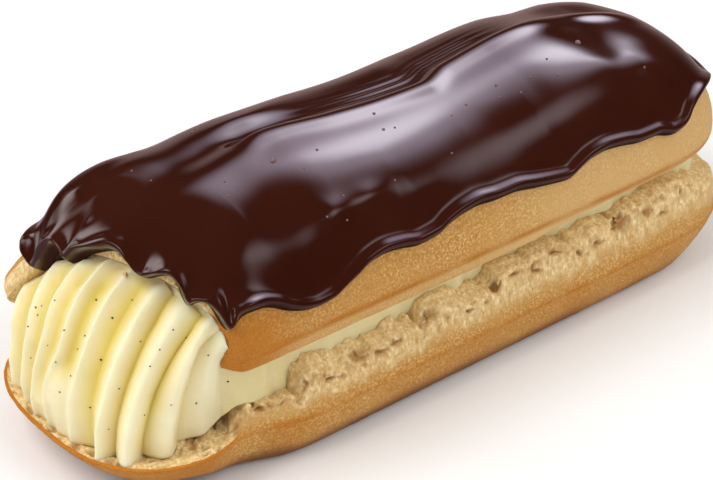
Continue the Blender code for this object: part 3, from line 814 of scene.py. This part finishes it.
def lobes(x, y):
    """Height given to the glaze's top: two swells along it, with a crease between."""
    line = curve(x, *zip(*CREST))
    t = y - line
    along = smooth(-54, -30, x) * smooth(62, 50, x)
    rear = smooth(-24, -4, x)
    crease = smooth(mix(-2.0, -0.3, smooth(-46, -30, x)), mix(5.5, 2.0, smooth(-46, -30, x)), t) * (1 - smooth(mix(3.0, 4.0, rear), mix(8.5, 17.0, rear), t))
    h = -mix(1.6, 1.35, rear) * along * crease
    h = h + 0.55 * along * np.exp(-(((t + 1.6) / 2.2) ** 2))
    # fine streaks where it ran along the valley
    h = h + 0.09 * along * bump(t, 4.5, 3.0) * np.sin(t * 3.1 + 0.06 * x) * smooth(-20, 0, x) * smooth(34, 22, x)
    # crease that climbs from the notch at the far corner of the opened end
    cx = x + 59.0
    run = smooth(-3, 2, cx) * smooth(22, 12, cx)
    fold = y - (9.2 + 0.06 * cx - 2.4 * bump(cx, 3.5, 4.0))
    h = h - 0.45 * run * np.exp(-((fold / 1.5) ** 2)) + 0.25 * run * np.exp(-(((fold + 2.6) / 2.0) ** 2))
    return h


# shallow bulges of the glaze's near flank: (x, y, z, height, radius)
BULGES = [(-26.5, -19.0, 39.5, 0.62, 2.6), (-18.5, -18.6, 39.8, 0.40, 2.1), (-34.5, -21.5, 36.0, 0.42, 2.8), (47.5, -15.5, 42.0, 0.40, 3.2), (39.0, -14.0, 43.5, 0.25, 2.6), (-8.0, -20.5, 38.5, 0.16, 3.0)]


def glaze():
    c = Columns(side=250, back=150, front=420)
    out = c.reach(top_outline)
    share = front_share(c, out)
    edge = curve(c.way, *zip(*LIP))
    edge = mix(edge, blur_columns(edge, 4.5), share)
    # the bead rounds the drips off, so each is drawn a little long
    edge = edge + mix(0.8, 0.3, smooth(322, 332, c.way)) * np.minimum(edge - blur_columns(edge, 14), 0.0) - 0.1 * share
    r, z = dome_rows(c, np.linspace(0, 1, 121), out, share, 15)
    hang = np.linspace(0.2, 11, 60)
    lean = mix(-0.05, 0.28, smooth(236, 247, c.way)) * mix(1.0, 0.5, smooth(322, 332, c.way))
    r = np.concatenate([r, r[-1] + lean * hang[:, None] * share])
    z = np.concatenate([z, z[-1] - hang[:, None]])
    arc = np.concatenate([np.zeros((1, len(out))), np.cumsum(np.hypot(np.diff(r, axis=0), np.diff(z, axis=0)), axis=0)])
    dr, dz = np.gradient(r, axis=0), np.gradient(z, axis=0)
    for _ in range(6):
        dr[1:-1] = (dr[:-2] + 2 * dr[1:-1] + dr[2:]) / 4
        dz[1:-1] = (dz[:-2] + 2 * dz[1:-1] + dz[2:]) / 4
    length = np.maximum(np.hypot(dr, dz), 1e-6)
    nr, nz = -dz / length, dr / length
    nr[0], nz[0] = 0.0, 1.0
    end = np.array([np.interp(-edge[j], -z[:, j], arc[:, j]) for j in range(len(out))])
    # distances up from the lip, then shares of what is left
    near = np.array([0, 0.04, 0.12, 0.24, 0.38, 0.54, 0.72, 0.92, 1.14, 1.38, 1.64, 1.92, 2.22, 2.54, 2.88, 3.24, 3.64, 4.1, 4.6, 5.2, 5.9, 6.7])
    rest = np.linspace(0, 1, 46)[1:]
    where = [end - d for d in near] + [(end - near[-1]) * (1 - f) for f in rest]
    sample = lambda table, s: np.array([np.interp(s[j], arc[:, j], table[:, j]) for j in range(len(out))])
    sr = np.array([sample(r, s) for s in where])
    sz = np.array([sample(z, s) for s in where])
    snr = np.array([sample(nr, s) for s in where])
    snz = np.array([sample(nz, s) for s in where])
    ln = np.hypot(snr, snz)
    snr, snz = snr / ln, snz / ln
    base = np.stack([c.sx + sr * c.dx, sr * c.dy, sz], -1)
    nrm = np.stack([snr * c.dx, snr * c.dy, snz], -1)
    # true distance to the lip, so that the bead keeps its width where the lip is steep
    tree = kdtree.KDTree(len(out) * 3)
    lip = base[0]
    nxt = np.roll(lip, -1, axis=0)
    for j in range(len(out)):
        for k in range(3):
            tree.insert(lip[j] + (nxt[j] - lip[j]) * k / 3.0, j * 3 + k)
    tree.balance()
    plain = np.array([end - w for w in where])
    dist = plain.copy()
    for i in range(len(where)):
        for j in range(len(out)):
            dist[i, j] = tree.find(base[i, j])[2]
    front = share * smooth(8, 3, dist)
    round_in = np.sqrt(np.clip(1 - (1 - np.clip(dist / mix(1.05, 1.35, share), 0, 1)) ** 2, 0, 1))
    body = 0.9 + 1.10 * np.exp(-(((dist - 1.15) / 0.95) ** 2)) + 0.75 * smooth(4, 16, dist)
    body = body + 0.85 * front * np.exp(-(((dist - 1.4) / 0.95) ** 2)) + 0.1 * share * bump(c.way, 239, 8)
    thick = round_in * body
    gap = 0.05
    outer = base + nrm * (gap + thick)[..., None]
    x, y, zz = outer[..., 0], outer[..., 1], outer[..., 2]
    outer[..., 2] += lobes(x, y) * smooth(3.0, 7.5, dist) * smooth(30, 38, zz)
    # full far shoulder of the opened end
    outer[..., 2] += 2.6 * np.exp(-(((x + 53) / 12) ** 2) - ((y - 13) / 7) ** 2) * smooth(0.8, 6.5, dist)
    soft = smooth(2.5, 8.0, dist)
    lift = 0.16 * layers(outer, (24, 15, 15), 2, 301) * soft
    for bx, by, bz, high, wide in BULGES:
        away = np.linalg.norm((outer - [bx, by, bz]) * [0.6, 1, 1], axis=-1)
        lift = lift + high * np.exp(-((away / wide) ** 2)) * soft
    outer += nrm * lift[..., None]
    skin = np.stack([c.sx + r * c.dx, r * c.dy, z], -1)
    outer += (ease_end(skin, base, -1) + ease_end(skin, base, 1, 4.2)) * smooth(1.0, 6.0, dist)[..., None]
    # surface tension rounds every corner of the lip
    ease = smooth(9.0, 4.0, dist)[..., None]
    for _ in range(7):
        side = (np.roll(outer, 1, 1) + np.roll(outer, -1, 1)) / 2
        up = outer.copy()
        up[1:-1] = (outer[:-2] + outer[2:]) / 2
        step = (side - outer) * 0.5
        step[1:-1] = step[1:-1] * 0.5 + (up - outer)[1:-1] * 0.22
        outer = outer + step * ease * 0.7
    # and melts the ridges that run up from its drips
    from_hub = np.hypot(outer[..., 0] - FRONT_HUB, outer[..., 1])
    melt = (smooth(-26, -36, outer[..., 0]) * mix(1.0, 0.35, bump(c.way, 239, 9)) * smooth(1.9, 3.6, dist) * smooth(6, 11, from_hub))[:, :, None] * 0.5
    melt = melt * smooth(0, 12, len(where) - 2 - np.arange(len(where)))[:, None, None]
    for _ in range(70):
        total, weight = 0.0, 0.0
        for other in (np.roll(outer, 1, 1), np.roll(outer, -1, 1), np.concatenate([outer[:1], outer[:-1]]), np.concatenate([outer[1:], outer[-1:]])):
            w = 1 / np.maximum(np.linalg.norm(other - outer, axis=-1, keepdims=True), 0.08)
            total, weight = total + w * other, weight + w
        outer = outer + (total / weight - outer) * melt
    outer = outer + ease_end(outer, outer, -1, 2.6) * smooth(14, 8, from_hub)[..., None]
    inner = base + nrm * gap
    inner_rows = inner[[2, 6, 12, 20, 30, 42, 52, len(where) - 1]]
    p = np.concatenate([outer[::-1], inner_rows])
    edge_mark = np.concatenate([smooth(1.6, 0.2, dist)[::-1], np.ones((len(inner_rows), len(out)))])
    return piece("chocolate_glaze_poured", p, {"thin": edge_mark}, GLAZE)


# ----------------------------------------------------------------------- cream
# each piped ridge: (way round the end, arch point x, y, z, foot point x, y, z)
ROPES = [
    (-3.0, -40.0, 20.6, 20.9, -40.0, 21.4, 15.6),
    (-2.0, -48.0, 20.5, 21.0, -50.0, 21.0, 14.0),
    (-1.0, -55.5, 19.8, 21.6, -58.5, 19.2, 9.4),
    (0.0, -60.2, 18.2, 22.6, -65.0, 16.2, 9.0),
    (1.0, -60.9, 16.7, 24.6, -68.3, 12.5, 8.9),
    (2.0, -59.1, 10.5, 29.9, -69.2, 6.5, 8.9),
    (3.0, -57.2, 4.0, 33.0, -69.6, 1.5, 8.9),
    (4.0, -56.0, -0.2, 34.1, -69.8, -3.5, 8.9),
    (5.0, -54.7, -4.6, 33.8, -69.4, -7.5, 8.9),
    (6.0, -53.0, -10.5, 33.7, -69.0, -13.0, 8.9),
    (7.0, -51.8, -14.9, 31.6, -66.2, -17.2, 8.9),
    (8.0, -50.4, -19.8, 30.6, -59.6, -19.4, 8.9),
    (9.0, -49.6, -21.8, 26.6, -52.2, -18.0, 9.0),
    (10.0, -46.6, -20.9, 21.2, -46.8, -20.4, 13.4),
    (11.0, -43.0, -21.4, 20.9, -42.4, -21.0, 12.8),
    (12.0, -40.0, -21.4, 20.7, -40.0, -20.6, 12.6),
]
FAN_WAY = [90, 110, 126, 141, 156, 167.5, 177, 186.7, 194, 204, 213, 224.7, 236.5, 249, 262, 270]


def cream():
    c = Columns(side=120, back=80, front=560)
    big = c.reach(base_outline)
    out = c.reach(top_outline)
    share = front_share(c, out)
    x, y = c.at(big - 2.0)
    zt = torn_edge(x, y)
    low = ledge(c.at(out)[0])
    wob = layers(np.stack([x, y, 0 * x], -1), 5.0, 3, 401)
    near_x = np.where(y < 0, x, 0.0)
    bulge = 1.1 * bump(near_x, -1.5, 1.6) + 0.7 * bump(near_x, -24.0, 5.0) + 0.6 * bump(near_x, 34.0, 4.0) + 0.5 * bump(near_x, 50.0, 9.0)
    side_foot = c.points(big - 5.4 + 0.8 * wob + bulge, zt + 0.4)
    side_arch = c.points(out - 3.3 + 0.5 * wob + bulge, low + 0.25)
    # the block of cream squeezed out under the near corner stops at a clean end
    block = np.where(y < 0, smooth(-36.9, -37.7, x), 0.0)[:, None]
    side_foot = mix(side_foot, np.stack([x, -20.6 + 0 * x, 12.6 + 0 * x], -1), block)
    side_arch = mix(side_arch, np.stack([x, -21.4 + 0 * x, 20.7 + 0 * x], -1), block)
    front = (c.fan > 90) & (c.fan < 270)
    knots = np.array(ROPES)
    v = np.interp(c.fan, FAN_WAY, knots[:, 0])
    arch, foot = side_arch.copy(), side_foot.copy()
    at = lambda k: curve(v, knots[:, 0], knots[:, k])
    free_a = np.stack([at(1), at(2), at(3)], -1)
    free_f = np.stack([at(4), at(5), at(6)], -1)
    # towards the sides the face hands over to the flat band between the buns
    hand = np.where(front, smooth(-3.0, -1.6, v) * smooth(12.0, 11.2, v), 0.0)
    # the block of cream under the near corner of the top bun ends just past the hub
    arch = mix(arch, free_a, hand[:, None])
    foot = mix(foot, free_f, hand[:, None])
    n_face = 62
    power_p = mix(3.0, 1.7, smooth(3.0, 6.5, v))
    power_q = mix(2.0, 1.35, smooth(3.0, 6.5, v))
    boxy = np.where(front, smooth(9.2, 10.2, v), block[:, 0])
    power_p = mix(np.where(front, mix(2.0, power_p, hand), 2.0), 5.0, boxy)
    power_q = mix(np.where(front, mix(2.0, power_q, hand), 2.0), 5.0, boxy)
    a = np.linspace(0, math.pi / 2, 90)[:, None]
    k = np.cos(a) ** (2 / power_p)
    h = np.sin(a) ** (2 / power_q)
    line = np.concatenate([arch[None, :, :2] + (foot - arch)[None, :, :2] * h[..., None], (foot[None, :, 2] + (arch - foot)[None, :, 2] * k)[..., None]], -1)
    seg = np.linalg.norm(np.diff(line, axis=0), axis=-1)
    arc = np.concatenate([np.zeros((1, line.shape[1])), np.cumsum(seg, axis=0)])
    u = np.linspace(0, 1, n_face)
    face = np.empty((n_face, line.shape[1], 3))
    for j in range(line.shape[1]):
        s = u * arc[-1, j]
        for q in range(3):
            face[:, j, q] = np.interp(s, arc[:, j], line[:, j, q])
    # valleys between the ridges
    U = u[:, None]
    bend = 0.0
    vv = v + 0 * U
    # the fourth ridge runs into the fifth low on the face, and the third leans to it
    pull = smooth(0.45, 0.80, U)
    vv = vv + pull * (0.55 * bump(vv, 3.9, 0.9) + 0.25 * bump(vv, 2.8, 0.9))
    f = vv - np.floor(vv)
    g = np.minimum(f, 1 - f)
    ribbon = 1 - np.abs(1 - 2 * f) ** 1.8  # narrow crest, wide hollow
    rope = 1 - np.sqrt(np.clip(1 - (2 * g) ** 2 * 0.97, 0, 1))  # full rope, narrow groove
    rope = 0.5 * rope + 0.5 * (1 - np.cos(2 * math.pi * g)) / 2
    kind = smooth(4.5, 7.0, vv)
    shape = mix(ribbon * 0.85, rope, kind)
    depth = curve(vv.reshape(-1), [-3, -1.5, -0.5, 0.5, 2.5, 3.5, 4.5, 5.5, 6.5, 7.5, 8.5, 9.5, 10.5, 12], [0, 0.2, 0.8, 1.25, 1.45, 1.4, 1.6, 2.1, 2.5, 2.5, 1.9, 0.5, 0.0, 0]).reshape(vv.shape)
    depth = depth * mix(0.55, 1.0, smooth(0.0, 0.18, U))
    low_merge = 1 - 0.85 * bump(vv, 4.5, 0.45) * smooth(0.55, 0.75, U) - 0.55 * bump(vv, 3.5, 0.45) * smooth(0.7, 0.9, U)
    depth = depth * low_merge * mix(1.0, 1.25, smooth(0.7, 1.0, U))
    n = grid_normals(face)
    mid = n[n_face // 2, np.argmin(np.abs(v - 5))]
    if mid[0] > 0:
        n = -n
    only = np.where(front, hand, 0.0)
    relief = -(shape * depth) * only
    relief = relief + 0.35 * only * layers(face, (5.0, 5.0, 9.0), 2, 411) + 0.12 * only * noise(face, 1.8, 413)
    relief = relief + 0.9 * only * bump(vv, 3.3, 1.6) * bump(U, 0.86, 0.14) * (1 + 0.6 * layers(face, 3.0, 2, 417))
    relief = relief + np.where(front, 0, 1) * 0.35 * layers(face, (4.0, 3.0, 3.0), 2, 421)
    face = face + n * relief[..., None]
    # painted shade: the cream is darker deep in the valleys between the ridges
    painted_valley_shade = 1.15 * shape**1.25 * mix(1.0, 0.45, smooth(7.8, 8.5, vv)) * only * np.clip(depth / 1.6, 0, 1) * mix(1.0, 0.75, smooth(0.55, 1.0, U))
    # foot: rounds under and back on to the shelf
    last = face[-1]
    inward = np.stack([-(last[:, 0] - c.sx), -last[:, 1], 0 * c.sx], -1)
    inward /= np.linalg.norm(inward, axis=-1, keepdims=True)
    under = [last + inward * q + np.array([0, 0, -dz]) for q, dz in ((0.35, 0.45), (1.0, 0.75), (2.4, 0.9), (5.0, 1.0))]
    floor = [c.points((big - WALL - 6.5) * 0.999, FLOOR_Z + 0.3), c.points(0 * big, FLOOR_Z + 0.3)]
    # top: back under the bun to the middle
    first = face[0]
    cap = inner_dome(c, out, share, (0.85, 0.6, 0.3, 0.0), 0.4)
    head = [first * 0.6 + c.points(cap[0][0] * 0.97, np.minimum(cap[0][1], first[:, 2] + 3)) * 0.4]
    head += [c.points(r * 0.97, zz) for r, zz in cap]
    p = np.concatenate([np.array(head[::-1]), face, np.array(under), np.array(floor)])
    pad = lambda q: np.concatenate([np.zeros((len(head), len(v))), q, np.zeros((len(under) + 2, len(v)))])
    # painted shade: the band between the buns and the block under the near corner are darkened
    band = np.where(front, np.maximum(1 - hand, smooth(9.2, 9.9, v) * 1.3), 1.0 + 0.3 * block[:, 0])[None] + 0 * U
    return piece("cream_piped", p, {"painted_valley_shade": pad(painted_valley_shade), "low": pad(band)}, CREAM)


# ---------------------------------------------------------------- small things
# vanilla seeds on the cream, bubbles set in the glaze (with 1 for the two large ones) and loose crumbs
SEEDS = [(-64.9, 2.0, 29.1), (-65.7, 6.8, 25.7), (-65.1, 5.9, 26.2), (-65.9, 6.0, 24.8), (-67.4, 6.9, 22.8), (-64.4, -5.4, 26.1), (-65.6, -4.9, 23.9), (-64.0, -8.7, 23.2),
         (-59.1, -12.9, 26.6), (-60.0, -16.3, 24.3), (-55.3, -16.1, 28.8), (-53.5, -16.7, 26.9), (-48.2, -19.7, 18.0), (-58.6, -19.3, 18.1), (-53.4, -18.5, 15.5), (-61.9, -17.3, 16.5),
         (-67.5, -5.4, 20.0), (-68.0, 5.8, 17.7), (-68.3, -2.5, 21.4), (-60.8, -3.5, 30.2), (-60.5, -7.3, 28.7), (-66.5, -2.8, 26.7), (-64.0, -13.7, 20.4), (-69.1, -4.3, 17.1),
         (-67.5, 0.9, 22.4), (-51.6, -19.6, 24.3), (-57.0, -7.7, 30.7), (-67.0, -9.4, 16.0), (-58.1, -16.3, 26.5), (-66.6, -14.1, 14.2)]
BUBBLES = [(-28.9, -7.0, 45.0, 1), (38.2, -8.0, 45.8, 1), (9.4, -10.3, 43.8, 0), (5.4, -11.1, 43.3, 0), (-38.1, -6.7, 44.6, 0), (-39.7, -9.7, 43.8, 0), (-47.0, 5.8, 43.5, 0), (-46.2, 1.7, 43.6, 0),
           (-21.2, -8.5, 44.9, 0), (-25.8, -11.0, 44.2, 0), (-6.1, -4.7, 44.9, 0), (-5.5, -9.3, 44.0, 0), (-7.6, -8.9, 44.2, 0), (-12.7, -17.8, 40.3, 0), (-23.1, -17.4, 40.9, 0),
           (-27.9, -19.3, 39.8, 0), (-24.7, -20.2, 38.4, 0), (-31.5, 11.3, 43.5, 0), (29.2, -9.3, 45.8, 0), (23.5, -11.2, 44.7, 0), (28.3, -13.0, 44.4, 0), (17.0, -9.5, 44.6, 0),
           (19.7, -12.9, 43.7, 0), (15.6, -11.9, 43.7, 0), (0.4, -16.8, 40.2, 0), (46.6, -16.5, 41.4, 0)]
CRUMB_HEAPS = [(-58.6, 7.4, 35.0, 9), (-58.9, 9.6, 33.4, 7), (-55.8, -3.6, 36.2, 9), (-55.4, -6.1, 35.8, 8), (-52.7, -13.2, 35.4, 10), (-50.9, -20.0, 33.2, 8), (-50.4, -21.7, 31.9, 6)]


def surface(obj):
    """Finds the nearest point of an object, in millimetres."""
    return BVHTree.FromPolygons([v.co / MM for v in obj.data.vertices], [list(f.vertices) for f in obj.data.polygons])


def grains(name, spots, material, lumpy=0.0, detail=2):
    """One joined mesh of small rounded grains; each spot is (centre, normal, radius, height share, turn)."""
    bm = bmesh.new()
    bmesh.ops.create_icosphere(bm, subdivisions=detail, radius=1.0)
    bm.verts.ensure_lookup_table()
    ball = np.array([v.co[:] for v in bm.verts])
    tris = np.array([[v.index for v in f.verts] for f in bm.faces])
    bm.free()
    verts, faces = [], []
    for k, (centre, normal, radius, flat, turn) in enumerate(spots):
        frame = normal.to_track_quat("Z", "Y").to_matrix()
        q = ball.copy()
        q[:, 0], q[:, 1] = q[:, 0] * math.cos(turn) - q[:, 1] * math.sin(turn), q[:, 0] * math.sin(turn) + q[:, 1] * math.cos(turn)
        if lumpy:
            q = q * (1 + lumpy * noise(q + k * 7.3, 0.9, 601))[:, None]
            q[:, 0] *= 1.25
        q[:, 2] *= flat
        q = q * radius @ np.array(frame).T + np.array(centre)
        verts.append(q)
        faces.append(tris + k * len(ball))
    mesh = bpy.data.meshes.new(name)
    mesh.from_pydata((np.concatenate(verts) * MM).tolist(), [], np.concatenate(faces).tolist())
    return finish_mesh(name, mesh, material)


def small_things(cream_obj, glaze_obj, bun_obj):
    rng = np.random.default_rng(71)
    on_cream, on_glaze, on_bun = surface(cream_obj), surface(glaze_obj), surface(bun_obj)
    spots = []
    for spot in SEEDS:
        at, n = on_cream.find_nearest(Vector(spot))[:2]
        radius = rng.uniform(0.10, 0.18)
        spots.append((at + n * 0.02, n, radius, 0.6, rng.uniform(0, 6)))
    seeds = grains("vanilla_seeds", spots, plain_material("vanilla_seed", [(0.3, (0.03, 0.018, 0.010)), (0.7, (0.10, 0.055, 0.025))], 0.2, 0.6), 0.35, 1)
    spots = []
    for *spot, big in BUBBLES:
        at, n = on_glaze.find_nearest(Vector(spot))[:2]
        radius = 0.55 if big else rng.uniform(0.17, 0.27)
        spots.append((at + n * (-0.05 if big else 0.02), n, radius, 0.75, 0.0))
        if big:
            side = n.orthogonal().normalized()
            spots.append((at + side * 0.55 + n * -0.05, n, 0.30, 0.75, 0.0))
    # the bubbles are coloured lighter than the glaze, as a painted sheen for their bright specks
    bubbles = grains("glaze_bubbles", spots, plain_material("glaze_bubble_painted_sheen", [(0.3, (0.15, 0.085, 0.078)), (0.7, (0.24, 0.15, 0.14))], 0.6, 0.18, 0.01), 0.0, 3)
    spots = []
    for x, y, z, count in CRUMB_HEAPS:
        for _ in range(count):
            want = Vector((x, y, z)) + Vector(rng.normal(0, 1.0, 3).tolist())
            best = min((tree.find_nearest(want)[:2] + (tree.find_nearest(want)[3],) for tree in (on_cream, on_bun)), key=lambda h: h[2])
            radius = rng.uniform(0.16, 0.36)
            spots.append((best[0] + best[1] * radius * 0.45, best[1], radius, 0.8, rng.uniform(0, 6)))
    crumbs = grains("loose_crumbs", spots, plain_material("crumb_grain", [(0.3, (0.50, 0.26, 0.06)), (0.7, (0.82, 0.60, 0.30))], 0.5, 0.75), 0.55, 2)
    for obj, name in ((seeds, "cream_filling"), (bubbles, "chocolate_glaze"), (crumbs, "top_bun")):
        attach(obj, "root")


# -------------------------------------------------------------------- lighting
def direction(az, el):
    a, e = math.radians(az), math.radians(el)
    return Vector((math.cos(a) * math.cos(e), math.sin(a) * math.cos(e), math.sin(e)))


# soft boxes that the glaze mirrors: (azimuth from +X, elevation, half-angles, softness, colour, strength)
BOXES = [
    (25, 46, 20, 12, 0.5, (0.92, 0.83, 1.04), 3.0),
    (27, 43, 8, 6, 0.8, (0.98, 0.95, 1.04), 4.8),
    (45, -2, 26, 14, 0.7, (1.0, 0.68, 0.64), 0.45),
    (118, 22, 15, 11, 0.6, (1.0, 0.90, 0.90), 2.8),
    (126, -6, 12, 10, 0.6, (1.0, 0.96, 0.96), 1.6),
    (165, 22, 9, 9, 0.6, (1.0, 0.94, 0.96), 2.6),
    (-42, 45, 9, 6, 0.8, (1.0, 0.88, 0.96), 1.5),
]


def world():
    w = bpy.data.worlds.new("studio")
    bpy.context.scene.world = w
    w.use_nodes = True
    t = w.node_tree
    t.nodes.clear()
    link = t.links.new
    node = t.nodes.new
    out = node("ShaderNodeOutputWorld")
    path = node("ShaderNodeLightPath")
    geo = node("ShaderNodeNewGeometry")
    sep = node("ShaderNodeSeparateXYZ")
    # Incoming on a world points back along the ray
    flip = node("ShaderNodeVectorMath")
    flip.operation = "SCALE"
    flip.inputs[3].default_value = -1.0
    link(geo.outputs["Incoming"], flip.inputs[0])
    link(flip.outputs[0], sep.inputs[0])

    def span(v, a, b, c, d):
        n = node("ShaderNodeMapRange")
        n.interpolation_type = "SMOOTHSTEP"
        link(v, n.inputs["Value"])
        for k, q in zip(("From Min", "From Max", "To Min", "To Max"), (a, b, c, d)):
            n.inputs[k].default_value = q
        return n.outputs["Result"]

    def maths(op, a, b):
        n = node("ShaderNodeMath")
        n.operation = op
        for s, q in zip(n.inputs, (a, b)):
            if isinstance(q, (int, float)):
                s.default_value = q
            else:
                link(q, s)
        return n.outputs[0]

    def dot(v):
        n = node("ShaderNodeVectorMath")
        n.operation = "DOT_PRODUCT"
        link(flip.outputs[0], n.inputs[0])
        n.inputs[1].default_value = v
        return n.outputs["Value"]

    ramp = node("ShaderNodeValToRGB")
    link(span(sep.outputs[2], -1.0, 1.0, 0.0, 1.0), ramp.inputs["Fac"])
    e = ramp.color_ramp.elements
    stops = [(0.0, (0.30, 0.24, 0.28)), (0.24, (0.40, 0.30, 0.36)), (0.36, (0.012, 0.008, 0.008)), (0.6, (0.012, 0.008, 0.007)), (0.9, (0.05, 0.035, 0.035)), (1.0, (0.05, 0.035, 0.035))]
    while len(e) < len(stops):
        e.new(0.5)
    for k, (at, col) in enumerate(stops):
        e[k].position, e[k].color = at, (*col, 1)
    total = ramp.outputs["Color"]
    for az, el, ha, hb, soft, colour, power in BOXES:
        d = direction(az, el)
        side = Vector((-math.sin(math.radians(az)), math.cos(math.radians(az)), 0))
        up = d.cross(side)
        a = maths("ABSOLUTE", dot(side), 0.0)
        b = maths("ABSOLUTE", dot(up), 0.0)
        sa, sb = math.sin(math.radians(ha)), math.sin(math.radians(hb))
        m1 = span(a, sa * (1 - soft), sa * (1 + soft), 1.0, 0.0)
        m2 = span(b, sb * (1 - soft), sb * (1 + soft), 1.0, 0.0)
        m3 = span(dot(d), 0.0, 0.2, 0.0, 1.0)
        amount = maths("MULTIPLY", maths("MULTIPLY", m1, m2), m3)
        add = node("ShaderNodeMix")
        add.data_type, add.blend_type = "RGBA", "ADD"
        link(amount, add.inputs[0])
        link(total, add.inputs[6])
        add.inputs[7].default_value = (*[q * power for q in colour], 1)
        total = add.outputs[2]
    gloss = node("ShaderNodeBackground")
    link(total, gloss.inputs["Color"])
    even = node("ShaderNodeBackground")
    even.inputs["Color"].default_value = (1.0, 1.0, 1.0, 1)
    even.inputs["Strength"].default_value = 0.49
    one = node("ShaderNodeMixShader")
    link(path.outputs["Is Glossy Ray"], one.inputs[0])
    link(even.outputs[0], one.inputs[1])
    link(gloss.outputs[0], one.inputs[2])
    back = node("ShaderNodeBackground")
    back.inputs["Color"].default_value = (1, 1, 1, 1)
    two = node("ShaderNodeMixShader")
    link(path.outputs["Is Camera Ray"], two.inputs[0])
    link(one.outputs[0], two.inputs[1])
    link(back.outputs[0], two.inputs[2])
    link(two.outputs[0], out.inputs["Surface"])


def panel(name, az, el, distance, size, watts, colour=(1, 1, 1)):
    data = bpy.data.lights.new(name, "AREA")
    data.shape, data.size, data.size_y = "RECTANGLE", size, size
    data.energy, data.color = watts, colour
    obj = bpy.data.objects.new(name, data)
    d = direction(az, el)
    obj.location = d * distance + Vector((0, 0, 0.02))
    obj.rotation_euler = d.to_track_quat("Z", "Y").to_euler()
    obj.visible_glossy = False
    obj.visible_camera = False
    bpy.context.scene.collection.objects.link(obj)
    return obj


def camera():
    elev, turn = math.radians(31.0), math.radians(50.3)
    forward = Vector((math.cos(turn) * math.cos(elev), math.sin(turn) * math.cos(elev), -math.sin(elev)))
    data = bpy.data.cameras.new("camera")
    data.sensor_fit, data.sensor_width = "HORIZONTAL", 36.0
    data.lens = 95.93
    data.clip_start, data.clip_end = 0.01, 20.0
    obj = bpy.data.objects.new("camera", data)
    obj.location = (-0.186778, -0.217780, 0.188351)
    obj.rotation_euler = forward.to_track_quat("-Z", "Y").to_euler()
    bpy.context.scene.collection.objects.link(obj)
    bpy.context.scene.camera = obj


def floor():
    s = Shader("floor_paper")
    s.put(s.bsdf.inputs["Base Color"], s.ramp(s.grain(40.0, 2.0, 0.5), [(0.3, (0.93, 0.93, 0.93)), (0.7, (0.95, 0.95, 0.95))]))
    s.bsdf.inputs["Roughness"].default_value = 0.9
    s.bsdf.inputs["Specular IOR Level"].default_value = 0.0
    bm = bmesh.new()
    bmesh.ops.create_circle(bm, cap_ends=True, segments=96, radius=3.0)
    mesh = bpy.data.meshes.new("floor")
    bm.to_mesh(mesh)
    bm.free()
    mesh.materials.append(s.mat)
    obj = bpy.data.objects.new("floor", mesh)
    obj.location.z = -0.0002
    obj.visible_glossy = False
    bpy.context.scene.collection.objects.link(obj)


# ----------------------------------------------------------------- put together
BUN = bun_material("baked_choux")
CREAM = cream_material()
GLAZE = glaze_material()

pieces = []
for make, node_name in ((bottom_bun, "bottom_bun"), (top_bun, "top_bun"), (cream, "cream_filling"), (glaze, "chocolate_glaze")):
    made = make()
    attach(made, "root")
    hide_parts(node_name)
    pieces.append(made)
small_things(pieces[2], pieces[3], pieces[1])

camera()
floor()
world()
panel("key", 160, 52, 0.9, 0.7, 5.9, (1.0, 0.99, 0.98))
panel("fill", -60, 40, 0.9, 0.8, 3.3, (1.0, 0.99, 0.97))
bpy.context.scene.view_settings.view_transform = "Standard"
bpy.context.scene.view_settings.look = "None"
